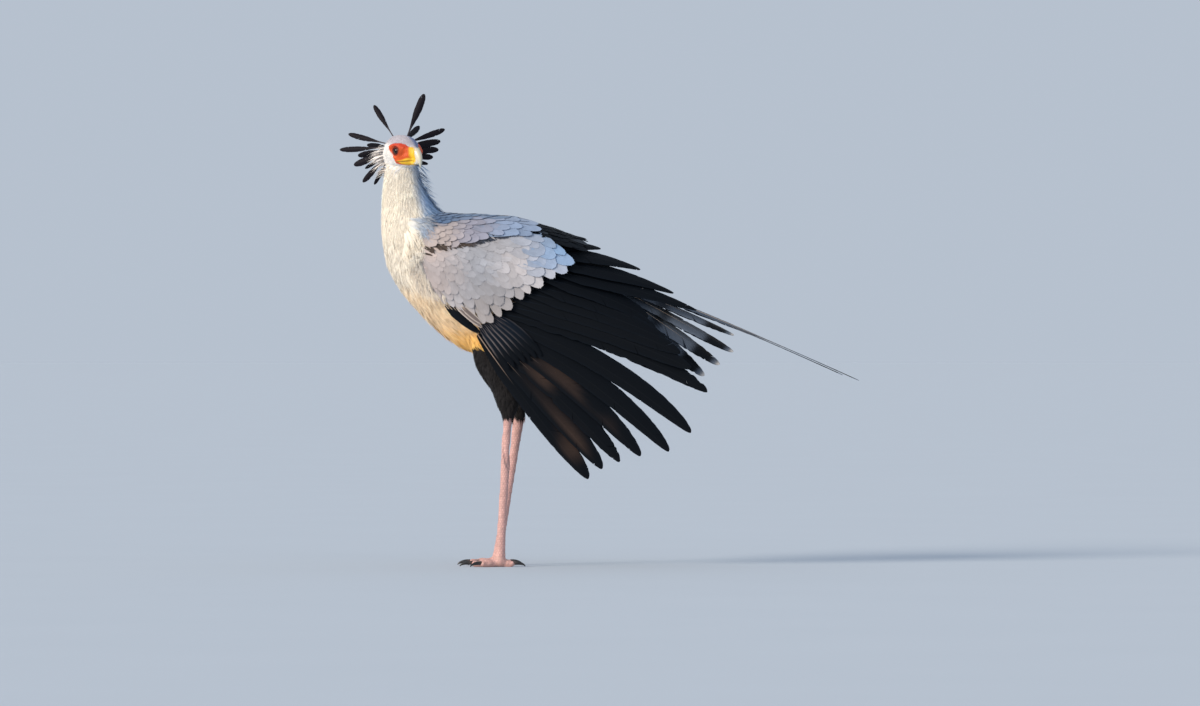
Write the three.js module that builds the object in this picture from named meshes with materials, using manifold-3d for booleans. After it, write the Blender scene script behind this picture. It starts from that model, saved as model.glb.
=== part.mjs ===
// A life-size secretary bird, standing with its wings held loosely and its head turned over its left side.
// Millimetres, +Z up. The breast faces -X, the tail +X and the bird's left side -Y. The floor is at z = 0.

import * as THREE from 'three';
import { mergeVertices } from 'three/addons/utils/BufferGeometryUtils.js';
import Module from 'manifold-3d';

const wasm = await Module();
wasm.setup();

// Driving dimensions in millimetres
const GAP = 0.35;
const TARSUS = 310;
const FOOT_HEIGHT = 20;
const HIP_HALF_SPAN = 50;
const HOCK_Z = TARSUS + FOOT_HEIGHT - 8;
const CLAW = 22;
const WING_HALF = 108;
const WING_ARCH = 125;
const COVERT_DEPTH = 10;
const SCAPULAR_DEPTH = 9;
const QUILL_WIDTH = 47;
const STREAMER_WIDTH = 25;
const VANE = 1.1;
const PLUME_VANE = 0.9;

// How finely the rounded forms are faceted: [sides, rings]
const BODY_FACETS = [18, 19];
const SKULL_FACETS = [14, 10];
const BILL_FACETS = [8, 7];
const EYE_FACETS = [9, 6];
const PAD_FACETS = [10, 10];

// Outline of neck and trunk, from the chin to the root of the tail: [front x, z, back x, z, half width]
const BODY_LINES = [
  [-470, 914, -394, 916, 32],
  [-476, 866, -390, 866, 36],
  [-480, 815, -374, 824, 43],
  [-483, 770, -349, 788, 54],
  [-483, 722, -311, 763, 70],
  [-475, 668, -262, 757, 78],
  [-449, 612, -212, 755, 82],
  [-403, 560, -165, 746, 82],
  [-348, 503, -118, 731, 80],
  [-285, 464, -72, 708, 76],
  [-205, 460, -36, 688, 69],
  [-130, 492, -6, 674, 58],
  [-65, 547, 20, 660, 40],
  [-18, 600, 40, 648, 22],
  [26, 634, 50, 641, 6],
];

// Head, in its own frame: +X towards the bill, +Z up, origin in the middle of the skull
const HEAD_AT = new THREE.Vector3(-430, -8, 908);
const HEAD_YAW = THREE.MathUtils.degToRad(-52);
const HEAD_PITCH = THREE.MathUtils.degToRad(9);
// [along, top, bottom, half width]
const HEAD_LINES = [
  [-50, 8, -14, 4],
  [-45, 24, -28, 22],
  [-30, 37, -36, 34],
  [-8, 41, -38, 38],
  [14, 41, -35, 35],
  [30, 35, -29, 27],
  [41, 26, -21, 18],
  [49, 15, -12, 8],
];
const EYE = { along: 16, side: 26, up: 6.5, radius: 9.5 };

const at = (x, y, z) => new THREE.Vector3(x, y, z);
const mix = THREE.MathUtils.lerp;
const smooth = THREE.MathUtils.smoothstep;

// A three.js geometry as a solid, and back
function solidOf(geometry) {
  const bare = geometry.clone();
  bare.deleteAttribute('normal');
  bare.deleteAttribute('uv');
  const merged = mergeVertices(bare, 1e-3);
  return new wasm.Manifold(new wasm.Mesh({
    numProp: 3,
    vertProperties: new Float32Array(merged.attributes.position.array),
    triVerts: new Uint32Array(merged.index.array),
  }));
}

function geometryOf(solid) {
  const mesh = solid.getMesh();
  const geometry = new THREE.BufferGeometry();
  geometry.setAttribute('position', new THREE.Float32BufferAttribute(mesh.vertProperties, 3));
  geometry.setIndex(new THREE.Uint32BufferAttribute(mesh.triVerts, 1));
  const flat = geometry.toNonIndexed();
  flat.computeVertexNormals();
  return flat;
}

const joined = (solids) => solids.reduce((sum, piece) => sum.add(piece));
const without = (solid, ...others) => others.reduce((rest, other) => rest.subtract(other), solid);

// What is left of a solid once the slivers that a cut makes are dropped
const largest = (solid) => solid.decompose().sort((a, b) => b.volume() - a.volume())[0];

// A geometry as a solid whose faces look outwards
function outward(geometry) {
  const solid = solidOf(geometry);
  if (solid.volume() > 0) return solid;
  geometry.index.array.reverse();
  return solidOf(geometry);
}

// A sphere whose rings are moved on to the sections that ring(u, angle) gives, u running from pole to pole
function skinned([sides, rings], ring) {
  const geometry = new THREE.SphereGeometry(1, sides, rings);
  const position = geometry.attributes.position;
  for (let row = 0; row <= rings; row++) {
    for (let column = 0; column <= sides; column++) {
      const angle = 2 * Math.PI * (column % sides) / sides;
      const point = ring(row / rings, angle);
      position.setXYZ(row * (sides + 1) + column, point.x, point.y, point.z);
    }
  }
  return outward(geometry);
}

// Rows of numbers as smooth functions of u from 0 to 1
function splines(rows) {
  const columns = rows[0].map((_, k) => new THREE.CatmullRomCurve3(
    rows.map((row, i) => at(row[k], i, 0)), false, 'catmullrom', 0.5));
  return (u) => columns.map((curve) => curve.getPoint(u).x);
}

// A closed tube through rows of [x, y, z, half size across, half size over], larger all round by grow
function tube(rows, facets, grow = 0) {
  const line = splines(rows);
  const step = 0.01;
  return skinned(facets, (v, angle) => {
    const u = mix(v, (1 - Math.cos(Math.PI * v)) / 2, 0.25);
    const [x, y, z, across, over] = line(u);
    const [x1, y1, z1] = line(Math.min(1, u + step));
    const [x0, y0, z0] = line(Math.max(0, u - step));
    const tangent = at(x1 - x0, y1 - y0, z1 - z0).normalize();
    const sideways = Math.abs(tangent.y) < 0.98 ? at(0, 1, 0) : at(1, 0, 0);
    const side = sideways.addScaledVector(tangent, -tangent.dot(sideways)).normalize();
    const up = tangent.clone().cross(side);
    const pole = v === 0 || v === 1;
    return at(x, y, z)
      .addScaledVector(side, pole ? 0 : (across + grow) * Math.cos(angle))
      .addScaledVector(up, pole ? 0 : (over + grow) * Math.sin(angle))
      .addScaledVector(tangent, pole ? grow * (2 * v - 1) : 0);
  });
}

// The neck and trunk as one closed form, and the middle and size of its section at u
const bodyLine = splines(BODY_LINES);
const BODY_END_GROWTH = 3;

function bodyRing(u, grow) {
  const [frontX, frontZ, backX, backZ, half] = bodyLine(u);
  const middle = at((frontX + backX) / 2, 0, (frontZ + backZ) / 2);
  const depth = at(backX - frontX, 0, backZ - frontZ).multiplyScalar(0.5);
  const reach = depth.length() + grow;
  depth.normalize();
  middle.addScaledVector(at(depth.z, 0, -depth.x), BODY_END_GROWTH * grow * (2 * u - 1));
  return { middle, depth, reach, half: half + grow };
}

function body(grow = 0) {
  return skinned(BODY_FACETS, (u, angle) => {
    const { middle, depth, reach, half } = bodyRing(u, grow);
    const pole = u === 0 || u === 1;
    return middle
      .addScaledVector(depth, pole ? 0 : reach * Math.cos(angle))
      .add(at(0, pole ? 0 : half * Math.sin(angle), 0));
  });
}

// Widths along a feather, as a share of its widest
const vane = (u) => Math.min(0.18 + 3 * u, 1) * roundedTip(u, 0.66, 0.345, 2.6, 0.03);
const plume = (u) => 0.16 + 0.84 * smooth(u, 0.2, 0.7) * roundedTip(u, 0.7, 0.31, 2, 0.01);
const streamer = (u) => 0.09 + 0.91 * (1 - smooth(u, 0.38, 0.72)) * Math.min(1, 0.4 + 2 * u);

function roundedTip(u, from, reach, power, least) {
  return Math.sqrt(Math.max(least, 1 - Math.max(0, (u - from) / reach) ** power));
}

// One feather as a thin bent blade. Its outer face looks along out, and bend moves its middle sideways.
function blade({ root, tip, out, width, bend, steps, thick = VANE, shape = vane }, grow = 0) {
  const middle = root.clone().lerp(tip, 0.5).add(bend);
  const shaft = new THREE.QuadraticBezierCurve3(root, middle, tip);
  const geometry = new THREE.BoxGeometry(1, 1, 1, 1, 1, steps);
  const position = geometry.attributes.position;
  for (let i = 0; i < position.count; i++) {
    const u = 1 - Math.max(0, 0.5 - position.getZ(i)) ** 1.6;
    const along = shaft.getTangent(u);
    const across = along.clone().cross(out).normalize();
    const face = across.clone().cross(along);
    const half = width / 2 * shape(u) + grow;
    const point = shaft.getPoint(u)
      .addScaledVector(across, 2 * half * position.getX(i))
      .addScaledVector(face, (thick + 2 * grow) * position.getY(i))
      .addScaledVector(along, grow * (2 * u - 1));
    position.setXYZ(i, point.x, point.y, point.z);
  }
  return outward(geometry);
}

// Colours of the parts
const group = new THREE.Group();
const material = (color, roughness = 0.85) => new THREE.MeshStandardMaterial({ color, roughness });
const FINISH = {
  cream: material(0xefe6d6),
  white: material(0xe6e2de),
  grey: material(0xa7a4a8),
  black: material(0x15161b, 0.6),
  barred: material(0x5b5350, 0.7),
  horn: material(0xc9ccd0, 0.35),
  cere: material(0xf0b428, 0.45),
  leg: material(0xc99a92, 0.6),
  claw: material(0x26221f, 0.4),
  eye: material(0x2a120a, 0.08),
};

function add(name, solid, finish, parent = group) {
  const mesh = new THREE.Mesh(geometryOf(largest(solid)), FINISH[finish]);
  mesh.name = name;
  parent.add(mesh);
  return mesh;
}

// Head
const headGroup = new THREE.Group();
headGroup.position.copy(HEAD_AT);
headGroup.rotation.set(0, HEAD_PITCH, HEAD_YAW, 'ZYX');
headGroup.updateMatrix();
group.add(headGroup);
const headLine = splines(HEAD_LINES);
const headPoint = (x, y, z) => at(x, y, z).applyMatrix4(headGroup.matrix);
const placed = (solid) => solidOf(geometryOf(solid).applyMatrix4(headGroup.matrix));

function skull(grow = 0) {
  return skinned(SKULL_FACETS, (u, angle) => {
    const [along, top, bottom, half] = headLine(u);
    const pole = u === 0 || u === 1;
    const height = (top - bottom) / 2 + grow;
    const cheek = 1 - 0.1 * Math.cos(angle);
    const side = pole ? 0 : (half + grow) * cheek * Math.sin(angle);
    const up = pole ? 0 : height * Math.cos(angle);
    return at(along + grow * (2 * u - 1), side, (top + bottom) / 2 + up);
  });
}

// Hooked upper bill and lower bill, in the head's frame: [ridge along, up, edge along, up, half width]
const UPPER_BILL = [
  [38, 21, 36, 2, 8],
  [46, 20, 42, -4, 10.5],
  [56, 15.5, 49, -7, 9.5],
  [64, 8, 55, -9, 7.5],
  [69.5, -2, 60, -11.5, 5.5],
  [71.3, -11, 64, -14, 3.6],
  [70.8, -18.5, 66.5, -19.5, 2],
  [69.2, -24.5, 68.2, -24.5, 0.8],
];
const LOWER_BILL = [
  [26, -9, 27, -22, 10],
  [38, -8, 38, -21, 11],
  [50, -9.5, 50, -19.5, 9],
  [59, -12.5, 58, -17.5, 6],
  [63.5, -15.5, 63, -16.5, 2.5],
];

function bill(rows, grow = 0) {
  const line = splines(rows);
  return skinned(BILL_FACETS, (u, angle) => {
    const [ridgeX, ridgeZ, edgeX, edgeZ, half] = line(u);
    const middle = at((ridgeX + edgeX) / 2, 0, (ridgeZ + edgeZ) / 2);
    const rise = at(ridgeX - edgeX, 0, ridgeZ - edgeZ).multiplyScalar(0.5);
    const height = rise.length() + grow;
    const pole = u === 0 || u === 1;
    return middle
      .addScaledVector(rise.normalize(), pole ? 0 : height * Math.cos(angle))
      .add(at(rise.z * grow * (2 * u - 1), pole ? 0 : (half + grow) * Math.sin(angle), 0));
  });
}

function eye(side, grow = 0) {
  const geometry = new THREE.SphereGeometry(EYE.radius + grow, ...EYE_FACETS);
  geometry.translate(EYE.along, side * EYE.side, EYE.up);
  return solidOf(geometry);
}

add('bill_upper', bill(UPPER_BILL), 'horn', headGroup);
add('bill_lower', without(bill(LOWER_BILL), bill(UPPER_BILL, GAP)), 'cere', headGroup);
add('eye_left', eye(1), 'eye', headGroup);
add('eye_right', eye(-1), 'eye', headGroup);
const faceGrown = [bill(UPPER_BILL, GAP), bill(LOWER_BILL, GAP), eye(1, GAP), eye(-1, GAP)];
add('head', without(skull(), ...faceGrown), 'white', headGroup);

// Crest: where each plume's root sits on the nape, [along, left, up] in the head's frame, its tip in the
// bird's frame, and its width
const CREST = {
  top_right: [[-34, -6, 33], [-496, 50, 1016], 13],
  top_left: [[-26, 24, 28], [-385, 56, 1041], 17],
  top_back: [[-34, 24, 22], [-397, 104, 972], 14],
  right_1: [[-42, -13, 15], [-553, 66, 953], 13],
  right_2: [[-46, -8, 10], [-513, 96, 930], 12],
  right_3: [[-45, -17, 7], [-572, 64, 918], 13],
  right_4: [[-48, -10, 2], [-533, 92, 906], 15],
  right_5: [[-45, -17, -4], [-541, 70, 884], 16],
  right_6: [[-48, -9, -8], [-517, 88, 877], 9],
  right_7: [[-44, -15, -14], [-521, 62, 846], 13],
  right_8: [[-44, -7, -20], [-496, 74, 841], 9],
  left_1: [[-34, 26, 17], [-340, 84, 964], 14],
  left_2: [[-38, 24, 10], [-350, 94, 938], 16],
  left_3: [[-40, 24, 3], [-354, 90, 919], 16],
  left_4: [[-41, 20, -5], [-366, 88, 902], 15],
  left_5: [[-43, 16, -14], [-377, 84, 887], 10],
};
const skullGrown = placed(skull(GAP));
const crestSoFar = [];
for (const [name, [root, tip, width]] of Object.entries(CREST)) {
  const from = headPoint(...root);
  const to = at(...tip);
  const reach = to.clone().sub(from);
  const way = reach.clone().normalize();
  const facing = at(0, -1, 0.12);
  const out = facing.addScaledVector(way, -way.dot(facing)).normalize();
  const bend = out.clone().multiplyScalar(-0.07 * reach.length());
  const form = { root: from, tip: to, out, width, bend, steps: 4, thick: PLUME_VANE, shape: plume };
  add('crest_' + name, without(blade(form), skullGrown, ...crestSoFar), 'black');
  crestSoFar.push(blade(form, GAP));
}

// Thighs, shanks and feet. The far thigh's feathers end higher, so that more of its hock is bare.
const NEAR = { name: 'left', side: -1, hipX: 0, hockX: -199, footX: -216, bare: 0 };
const FAR = { name: 'right', side: 1, hipX: 14, hockX: -176, footX: -223, bare: 22 };

function thigh({ side, hipX, hockX, bare }, grow = 0) {
  const y = side * (HIP_HALF_SPAN - 5);
  const low = HOCK_Z + bare;
  return tube([
    [-212 + hipX, y, 536, 6, 6],
    [-219 + hipX, y, 508, 29, 54],
    [-222 + hipX, y, 474, 32, 63],
    [-210 + hipX, y, 437, 31, 55],
    [mix(-200 + hipX, hockX, 0.5), y, 400, 30, 45],
    [mix(-197 + hipX, hockX, 0.8), y, low + 50, 26, 35],
    [hockX + 1, y, low + 24, 22, 29],
    [hockX, y, low + 6, 17, 21],
    [hockX - 2, y, low - 2, 9, 11],
  ], [12, 9], grow);
}

function shank({ side, hockX, footX, bare }, grow = 0) {
  const y = side * HIP_HALF_SPAN;
  const down = (share) => mix(hockX, footX, share);
  return tube([
    [hockX, y, HOCK_Z + bare + 18, 7, 8],
    [hockX, y, HOCK_Z + 12, 11, 12],
    [down(0.02), y, HOCK_Z, 12.5, 13.5],
    [down(0.08), y, HOCK_Z - 24, 9.5, 11],
    [down(0.3), y, HOCK_Z - 100, 8, 9.5],
    [down(0.65), y, HOCK_Z - 200, 7.8, 9.3],
    [down(0.9), y, 45, 10, 10],
    [down(0.98), y, FOOT_HEIGHT, 12, 12],
    [down(1), y, FOOT_HEIGHT - 8, 9, 9],
  ], [9, 9], grow);
}

// [turn from straight ahead in degrees, length, half width] of each toe, and how it swells at its joints
const TOES = { inner: [-27, 50, 8.5], middle: [1, 66, 9], outer: [30, 52, 8.2], hind: [172, 34, 8] };
const TOE_SHAPE = [[0, 0.8], [0.16, 1.1], [0.36, 0.92], [0.5, 1.04], [0.7, 0.84], [0.84, 0.94], [1, 0.62]];
const CLAW_SHAPE = [[-0.25, 4.4], [0.2, 4.2], [0.6, 3], [0.88, 1.8], [1, 0.9]];

function toeLine({ side, footX }, [turn, length]) {
  const angle = THREE.MathUtils.degToRad(turn) * side;
  return {
    heel: at(footX, side * HIP_HALF_SPAN, 0),
    ahead: at(-Math.cos(angle), Math.sin(angle), 0),
    length,
  };
}

function toe(leg, spec, grow = 0) {
  const { heel, ahead, length } = toeLine(leg, spec);
  const rows = TOE_SHAPE.map(([share, swell]) => {
    const half = swell * spec[2];
    const point = heel.clone().addScaledVector(ahead, share * length);
    return [point.x, point.y, half * 0.86, half, half * 0.95];
  });
  return tube(rows, [6, 6], grow);
}

function claw(leg, spec, grow = 0) {
  const { heel, ahead, length } = toeLine(leg, spec);
  const rows = CLAW_SHAPE.map(([share, half]) => {
    const point = heel.clone().addScaledVector(ahead, length + share * CLAW);
    return [point.x, point.y, 0.4 + 8.4 * Math.sqrt(1.01 - Math.max(share, 0) ** 2), half * 0.8, half];
  });
  return tube(rows, [5, 4], grow);
}

// The part of a solid above the floor, which gives the toes and claws their flat soles
function aboveFloor(solid) {
  const slab = new THREE.BoxGeometry(3000, 3000, 200);
  slab.translate(0, 0, -100);
  return solid.subtract(solidOf(slab));
}

const thighs = [];
for (const leg of [NEAR, FAR]) {
  const toes = Object.entries(TOES);
  const claws = toes.map(([, spec]) => claw(leg, spec, GAP));
  const ball = new THREE.SphereGeometry(14, 8, 5);
  ball.scale(1.1, 1.05, 0.95);
  ball.translate(leg.footX, leg.side * HIP_HALF_SPAN, 11.5);
  const foot = joined([solidOf(ball), ...toes.map(([, spec]) => toe(leg, spec))]);
  add('thigh_' + leg.name, without(thigh(leg), shank(leg, GAP)), 'black');
  add('shank_' + leg.name, shank(leg), 'leg');
  add('foot_' + leg.name, aboveFloor(without(foot, shank(leg, GAP), ...claws)), 'leg');
  for (const [name, spec] of toes) {
    add(`claw_${leg.name}_${name}`, aboveFloor(claw(leg, spec)), 'claw');
  }
  thighs.push(thigh(leg, GAP));
}

// Neck and trunk, parted by thin cuts at two places along the body
const NECK_CUTS = [0.165, 0.3];

function cutAt(u) {
  const { middle, depth } = bodyRing(u, 0);
  const slab = new THREE.BoxGeometry(600, 600, 2 * GAP);
  slab.rotateY(-Math.atan2(depth.z, depth.x));
  slab.translate(middle.x, 0, middle.z);
  return solidOf(slab);
}

const bodySolid = without(body(), skullGrown, ...crestSoFar, ...thighs, ...NECK_CUTS.map(cutAt));
const top = (piece) => piece.boundingBox().max[2];
const lengths = bodySolid.decompose()
  .sort((a, b) => b.volume() - a.volume())
  .slice(0, 3)
  .sort((a, b) => top(b) - top(a));
['neck_upper', 'neck_lower', 'trunk'].forEach((name, i) => add(name, lengths[i], 'cream'));

// Wings: the form they are wrapped on, as [x, height of the ridge of the back]
const RIDGE = [
  [-400, 780], [-352, 779], [-315, 776], [-261, 774], [-190, 770], [-140, 757], [-113, 750],
  [-64, 733], [-26, 719], [2, 704], [94, 655], [168, 602], [217, 570], [300, 520],
];
const ARC = WING_ARCH * Math.PI / 2;

function ridgeAt(x) {
  const i = RIDGE.findIndex(([right]) => right >= x);
  const [[x0, z0], [x1, z1]] = [RIDGE[Math.max(0, i - 1)], RIDGE[Math.max(0, i)]];
  return x1 === x0 ? z0 : mix(z0, z1, (x - x0) / (x1 - x0));
}

// A place on the wing's form: turn is 0 on the ridge of the back, 1 where the side becomes upright, and more
// below that
function onWing(x, turn, depth) {
  const angle = Math.min(turn, 1) * Math.PI / 2;
  const below = Math.max(turn - 1, 0) * ARC;
  return at(x, -(WING_HALF - depth) * Math.sin(angle) + 0.06 * below,
    ridgeAt(x) - WING_ARCH + (WING_ARCH - depth) * Math.cos(angle) - below);
}

function turnOf(x, z) {
  const fall = ridgeAt(x) - z;
  if (fall > WING_ARCH) return 1 + (fall - WING_ARCH) / ARC;
  return Math.acos(1 - Math.max(fall, 0) / WING_ARCH) / (Math.PI / 2);
}

// Pads of short feathers on that form, as rows of [lower edge x, z, upper edge x, z] from front to rear
const COVERTS = [
  [-391, 642, -391, 646], [-379, 604, -383, 672], [-346, 576, -356, 692], [-302, 553, -300, 698],
  [-254, 525, -240, 704], [-214, 541, -180, 711], [-168, 579, -130, 706], [-114, 613, -90, 692],
  [-70, 637, -60, 677], [-51, 661, -51, 665],
];
const SCAPULARS = [
  [-356, 732, -354, 738], [-347, 704, -336, 775.9], [-306, 701, -290, 774.6], [-245, 707, -236, 772.3],
  [-188, 714, -184, 768], [-140, 712, -142, 756.6], [-106, 702, -108, 740], [-92, 708, -92, 714],
];

function pad(rows, thick, grow = 0) {
  const edges = splines(rows);
  const margin = grow / ARC;
  return skinned(PAD_FACETS, (u, angle) => {
    const [lowX, lowZ, highX, highZ] = edges(u);
    const pole = u === 0 || u === 1;
    const across = pole ? 0 : (1 - Math.cos(angle)) / 2;
    const low = turnOf(lowX, lowZ);
    const high = Math.max(turnOf(highX, highZ), 0.03);
    const turn = pole ? low : mix(low + margin, high - margin, across);
    const depth = thick / 2 - (pole ? 0 : (thick / 2 + grow) * Math.sin(angle));
    return onWing(mix(lowX, highX, across) + grow * (2 * u - 1), turn, depth);
  });
}

// Flight feathers from the lowest up: [root x, root z, depth, tip x, tip z, tip y, bow up, lift]
// Those of the hand fan out below the tail, those of the arm lie over them, and those of the back roof it.
const HAND_QUILLS = [
  [-266, 512, 18, -22, 193, -86, -10, 0.08],
  [-262, 518, 17.4, 8, 215, -88, 2, 0.08],
  [-258, 525, 16.8, 46, 230, -90, 16, 0.09],
  [-254, 532, 16.2, 92, 243, -92, 30, 0.1],
  [-248, 540, 15.6, 154, 253, -94, 46, 0.11],
  [-240, 549, 15, 202, 294, -96, 54, 0.12],
  [-230, 558, 14.4, 238, 383, -98, 44, 0.14],
];
const ARM_QUILLS = [
  [-210, 574, 12.5, 203, 434, -104, 26, 0.16],
  [-190, 588, 13, 179, 468, -102, 24, 0.24],
  [-168, 602, 13.5, 148, 496, -97, 22, 0.36],
  [-146, 616, 14, 124, 520, -89, 20, 0.46],
  [-124, 632, 14, 108, 546, -79, 20, 0.56],
];
const BACK_QUILLS = [
  [-122, 654, 14, 215, 562, -50, 18, 0.7],
  [-126, 678, 14, 165, 600, -42, 17, 0.8],
  [-132, 700, 14, 92, 652, -34, 16, 0.9],
  [-136, 719, 15, 5, 698, -29, 12, 1],
  [-142, 738, 14, -27, 719, -22, 10, 1.05],
];

function quills(rows, steps, grow = 0) {
  const roots = rows.map(([x, z, depth]) => onWing(x, turnOf(x, z), depth));
  const feathers = rows.map(([, , , x, z, y, bow, lift], i) => {
    const tip = at(x, y, z);
    const along = tip.clone().sub(roots[i]).normalize();
    const bend = at(-along.z, 0, along.x).multiplyScalar(bow).add(at(0, -3, 0));
    const out = at(0, -Math.cos(lift), Math.sin(lift));
    return blade({ root: roots[i], tip, out, width: QUILL_WIDTH, bend, steps }, grow);
  });
  const beyond = (last, before) => last.clone().multiplyScalar(2).sub(before);
  const line = [beyond(roots[0], roots[1]), ...roots, beyond(roots.at(-1), roots.at(-2))];
  const limb = tube(line.map(({ x, y, z }) => [x, y + 3, z, 5, 5]), [6, 5], grow);
  return joined([limb, ...feathers]);
}

// The two wings are alike, so the left one is also kept clear of the right thigh as mirrored to its side
const hand = (grow) => quills(HAND_QUILLS, 5, grow);
const arm = (grow) => quills(ARM_QUILLS, 3, grow);
const back = (grow) => quills(BACK_QUILLS, 3, grow);
const bodyGrown = body(GAP);
const padsGrown = [pad(COVERTS, COVERT_DEPTH, GAP), pad(SCAPULARS, SCAPULAR_DEPTH, GAP)];
const thighsGrown = [thigh(NEAR, GAP), thigh({ ...FAR, side: NEAR.side }, GAP)];
const WING = {
  coverts: [without(pad(COVERTS, COVERT_DEPTH), bodyGrown), 'grey'],
  scapulars: [without(pad(SCAPULARS, SCAPULAR_DEPTH), bodyGrown, padsGrown[0]), 'grey'],
  hand: [without(hand(0), bodyGrown, ...padsGrown, ...thighsGrown), 'black'],
  arm: [without(arm(0), bodyGrown, ...padsGrown, hand(GAP)), 'black'],
  back: [without(back(0), bodyGrown, ...padsGrown, arm(GAP), hand(GAP)), 'black'],
};

for (const [name, mirror] of [['left', 1], ['right', -1]]) {
  const wing = new THREE.Group();
  wing.scale.y = mirror;
  group.add(wing);
  for (const [part, [solid, finish]] of Object.entries(WING)) {
    add(`wing_${name}_${part}`, solid, finish, wing);
  }
}

// Tail: [tip x, tip z, tip y, width] of the outer feathers of one side, from beside the middle pair outwards
const TAIL_ROOT = at(-20, 0, 644);
const TAIL_QUILLS = [
  [298, 508, 27, 36],
  [296, 474, 43, 42],
  [266, 448, 57, 44],
  [232, 426, 69, 44],
  [196, 412, 79, 42],
];
const STREAMER_TIPS = { left: [573, -9, 408], right: [538, 9, 420] };
const STUMP = [
  [-10, 0, 630, 14, 6],
  [16, 0, 624, 24, 10],
  [50, 0, 611, 25, 10],
  [76, 0, 599, 18, 7],
  [92, 0, 592, 8, 3],
];
const LAP = 2.4;

// Each tail feather lies a little under the one above it, and the right ones under the left ones
function tailFan(grow = 0) {
  const feathers = [-1, 1].flatMap((side) => TAIL_QUILLS.map(([x, z, y, width], i) => {
    const under = LAP * (i + (side > 0 ? 0.5 : 0));
    const root = at(TAIL_ROOT.x, side * (13 + 3 * i), TAIL_ROOT.z - under);
    const tip = at(x, side * y, z - under);
    const lift = mix(1.2, 0.75, i / (TAIL_QUILLS.length - 1));
    const out = at(0, side * Math.cos(lift), Math.sin(lift));
    return blade({ root, tip, out, width, bend: at(0, 0, 8), steps: 3 }, grow);
  }));
  return joined([tube(STUMP, [8, 4], grow), ...feathers]);
}

function middleQuill(name, grow = 0) {
  const [x, y, z] = STREAMER_TIPS[name];
  const root = at(TAIL_ROOT.x + 6, Math.sign(y) * 12, TAIL_ROOT.z + 6 - Math.sign(y) * 1.5);
  const out = at(0, Math.sign(y) * 0.35, 0.94);
  const bend = at(0, 0, 12);
  const form = { root, tip: at(x, y, z), out, width: STREAMER_WIDTH, bend, steps: 7, shape: streamer };
  return blade(form, grow);
}

function mirrored(solid) {
  const geometry = geometryOf(solid);
  geometry.scale(1, -1, 1);
  geometry.setIndex([...Array(geometry.attributes.position.count).keys()].reverse());
  return solidOf(geometry);
}

const wingsGrown = [hand(GAP), arm(GAP), back(GAP)].flatMap((solid) => [solid, mirrored(solid)]);
const tailGrown = tailFan(GAP);
const aroundTail = [bodyGrown, ...wingsGrown];
add('tail', without(tailFan(), ...aroundTail), 'barred');
add('tail_streamer_left', without(middleQuill('left'), tailGrown, ...aroundTail), 'barred');
aroundTail.push(middleQuill('left', GAP));
add('tail_streamer_right', without(middleQuill('right'), tailGrown, ...aroundTail), 'barred');

export default group;
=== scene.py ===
"""A life-size secretary bird for a museum: skin, coat, flight feathers, bill, eyes and scaled legs."""

import math

import bmesh
import bpy
import numpy as np
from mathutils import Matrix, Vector
from mathutils.bvhtree import BVHTree


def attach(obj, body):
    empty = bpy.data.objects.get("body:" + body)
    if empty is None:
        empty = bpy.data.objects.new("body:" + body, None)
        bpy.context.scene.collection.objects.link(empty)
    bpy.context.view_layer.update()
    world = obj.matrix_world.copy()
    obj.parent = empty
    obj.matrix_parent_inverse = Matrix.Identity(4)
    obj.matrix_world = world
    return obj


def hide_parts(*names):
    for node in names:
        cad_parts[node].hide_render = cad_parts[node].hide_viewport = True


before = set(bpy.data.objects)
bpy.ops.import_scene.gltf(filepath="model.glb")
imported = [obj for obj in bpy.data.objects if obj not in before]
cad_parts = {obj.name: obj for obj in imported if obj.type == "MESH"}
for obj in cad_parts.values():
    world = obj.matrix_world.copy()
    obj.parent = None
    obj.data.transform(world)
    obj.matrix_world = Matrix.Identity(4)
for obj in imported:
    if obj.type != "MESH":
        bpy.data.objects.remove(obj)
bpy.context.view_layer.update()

# Shapes are worked out in millimetres and stored in metres
MM = 0.001
SKIN_VOXEL = 3.75
PATCH = 0.003
FLOOR_GAP = 0.05
FULL_TURN = 2 * math.pi
SIDES = {"left": -1, "right": 1}


# Colours, as the eye sees them from 0 to 255, made linear

def shade(red, green, sky_lit):
    value = np.array([red, green, sky_lit]) / 255
    return np.where(value < 0.04045, value / 12.92, ((value + 0.055) / 1.055) ** 2.4)


CREAM = shade(243, 233, 217)
WHITE = shade(238, 234, 230)
BUFF = shade(240, 186, 92)
# The nape's own pale grey-blue, deepened with painted blue shade of its sky-lit far side
NAPE_SHADE_BLUE = shade(142, 172, 208)
# The mantle's grey, darkened and blued as painted shade
MANTLE_SHADE_BLUE = shade(68, 98, 134)
CROWN_GREY = shade(184, 177, 185)
# Painted blue shade for the far side of the crown
CROWN_SHADE_BLUE = shade(112, 130, 172)
COVERT_GREY = shade(176, 170, 171)
COVERT_PINK = shade(190, 176, 172)
# The coverts' own blue-grey, made bluer by painted sky light where they face up
COVERT_SKY_BLUE = shade(138, 168, 204)
THIGH_BLACK = shade(26, 23, 24)
FLIGHT_BLACK = shade(3, 8, 16)
# Brown of light shining through the black webs: painted light
SHINE_THROUGH_BROWN = shade(66, 51, 44)
# Tail grey, with a blue tinge that is painted sky light
TAIL_GREY = shade(84, 92, 104)
TAIL_WHITE = shade(205, 198, 192)
FACE_ORANGE = shade(232, 92, 34)
FACE_RED = shade(206, 48, 32)
CERE_YELLOW = shade(255, 202, 48)
LID_BROWN = shade(60, 22, 18)
LEG_PINK = shade(208, 163, 154)


# Numbers and vectors

def unit(vectors):
    length = np.linalg.norm(vectors, axis=-1, keepdims=True)
    return vectors / np.maximum(length, 1e-9)


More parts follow.
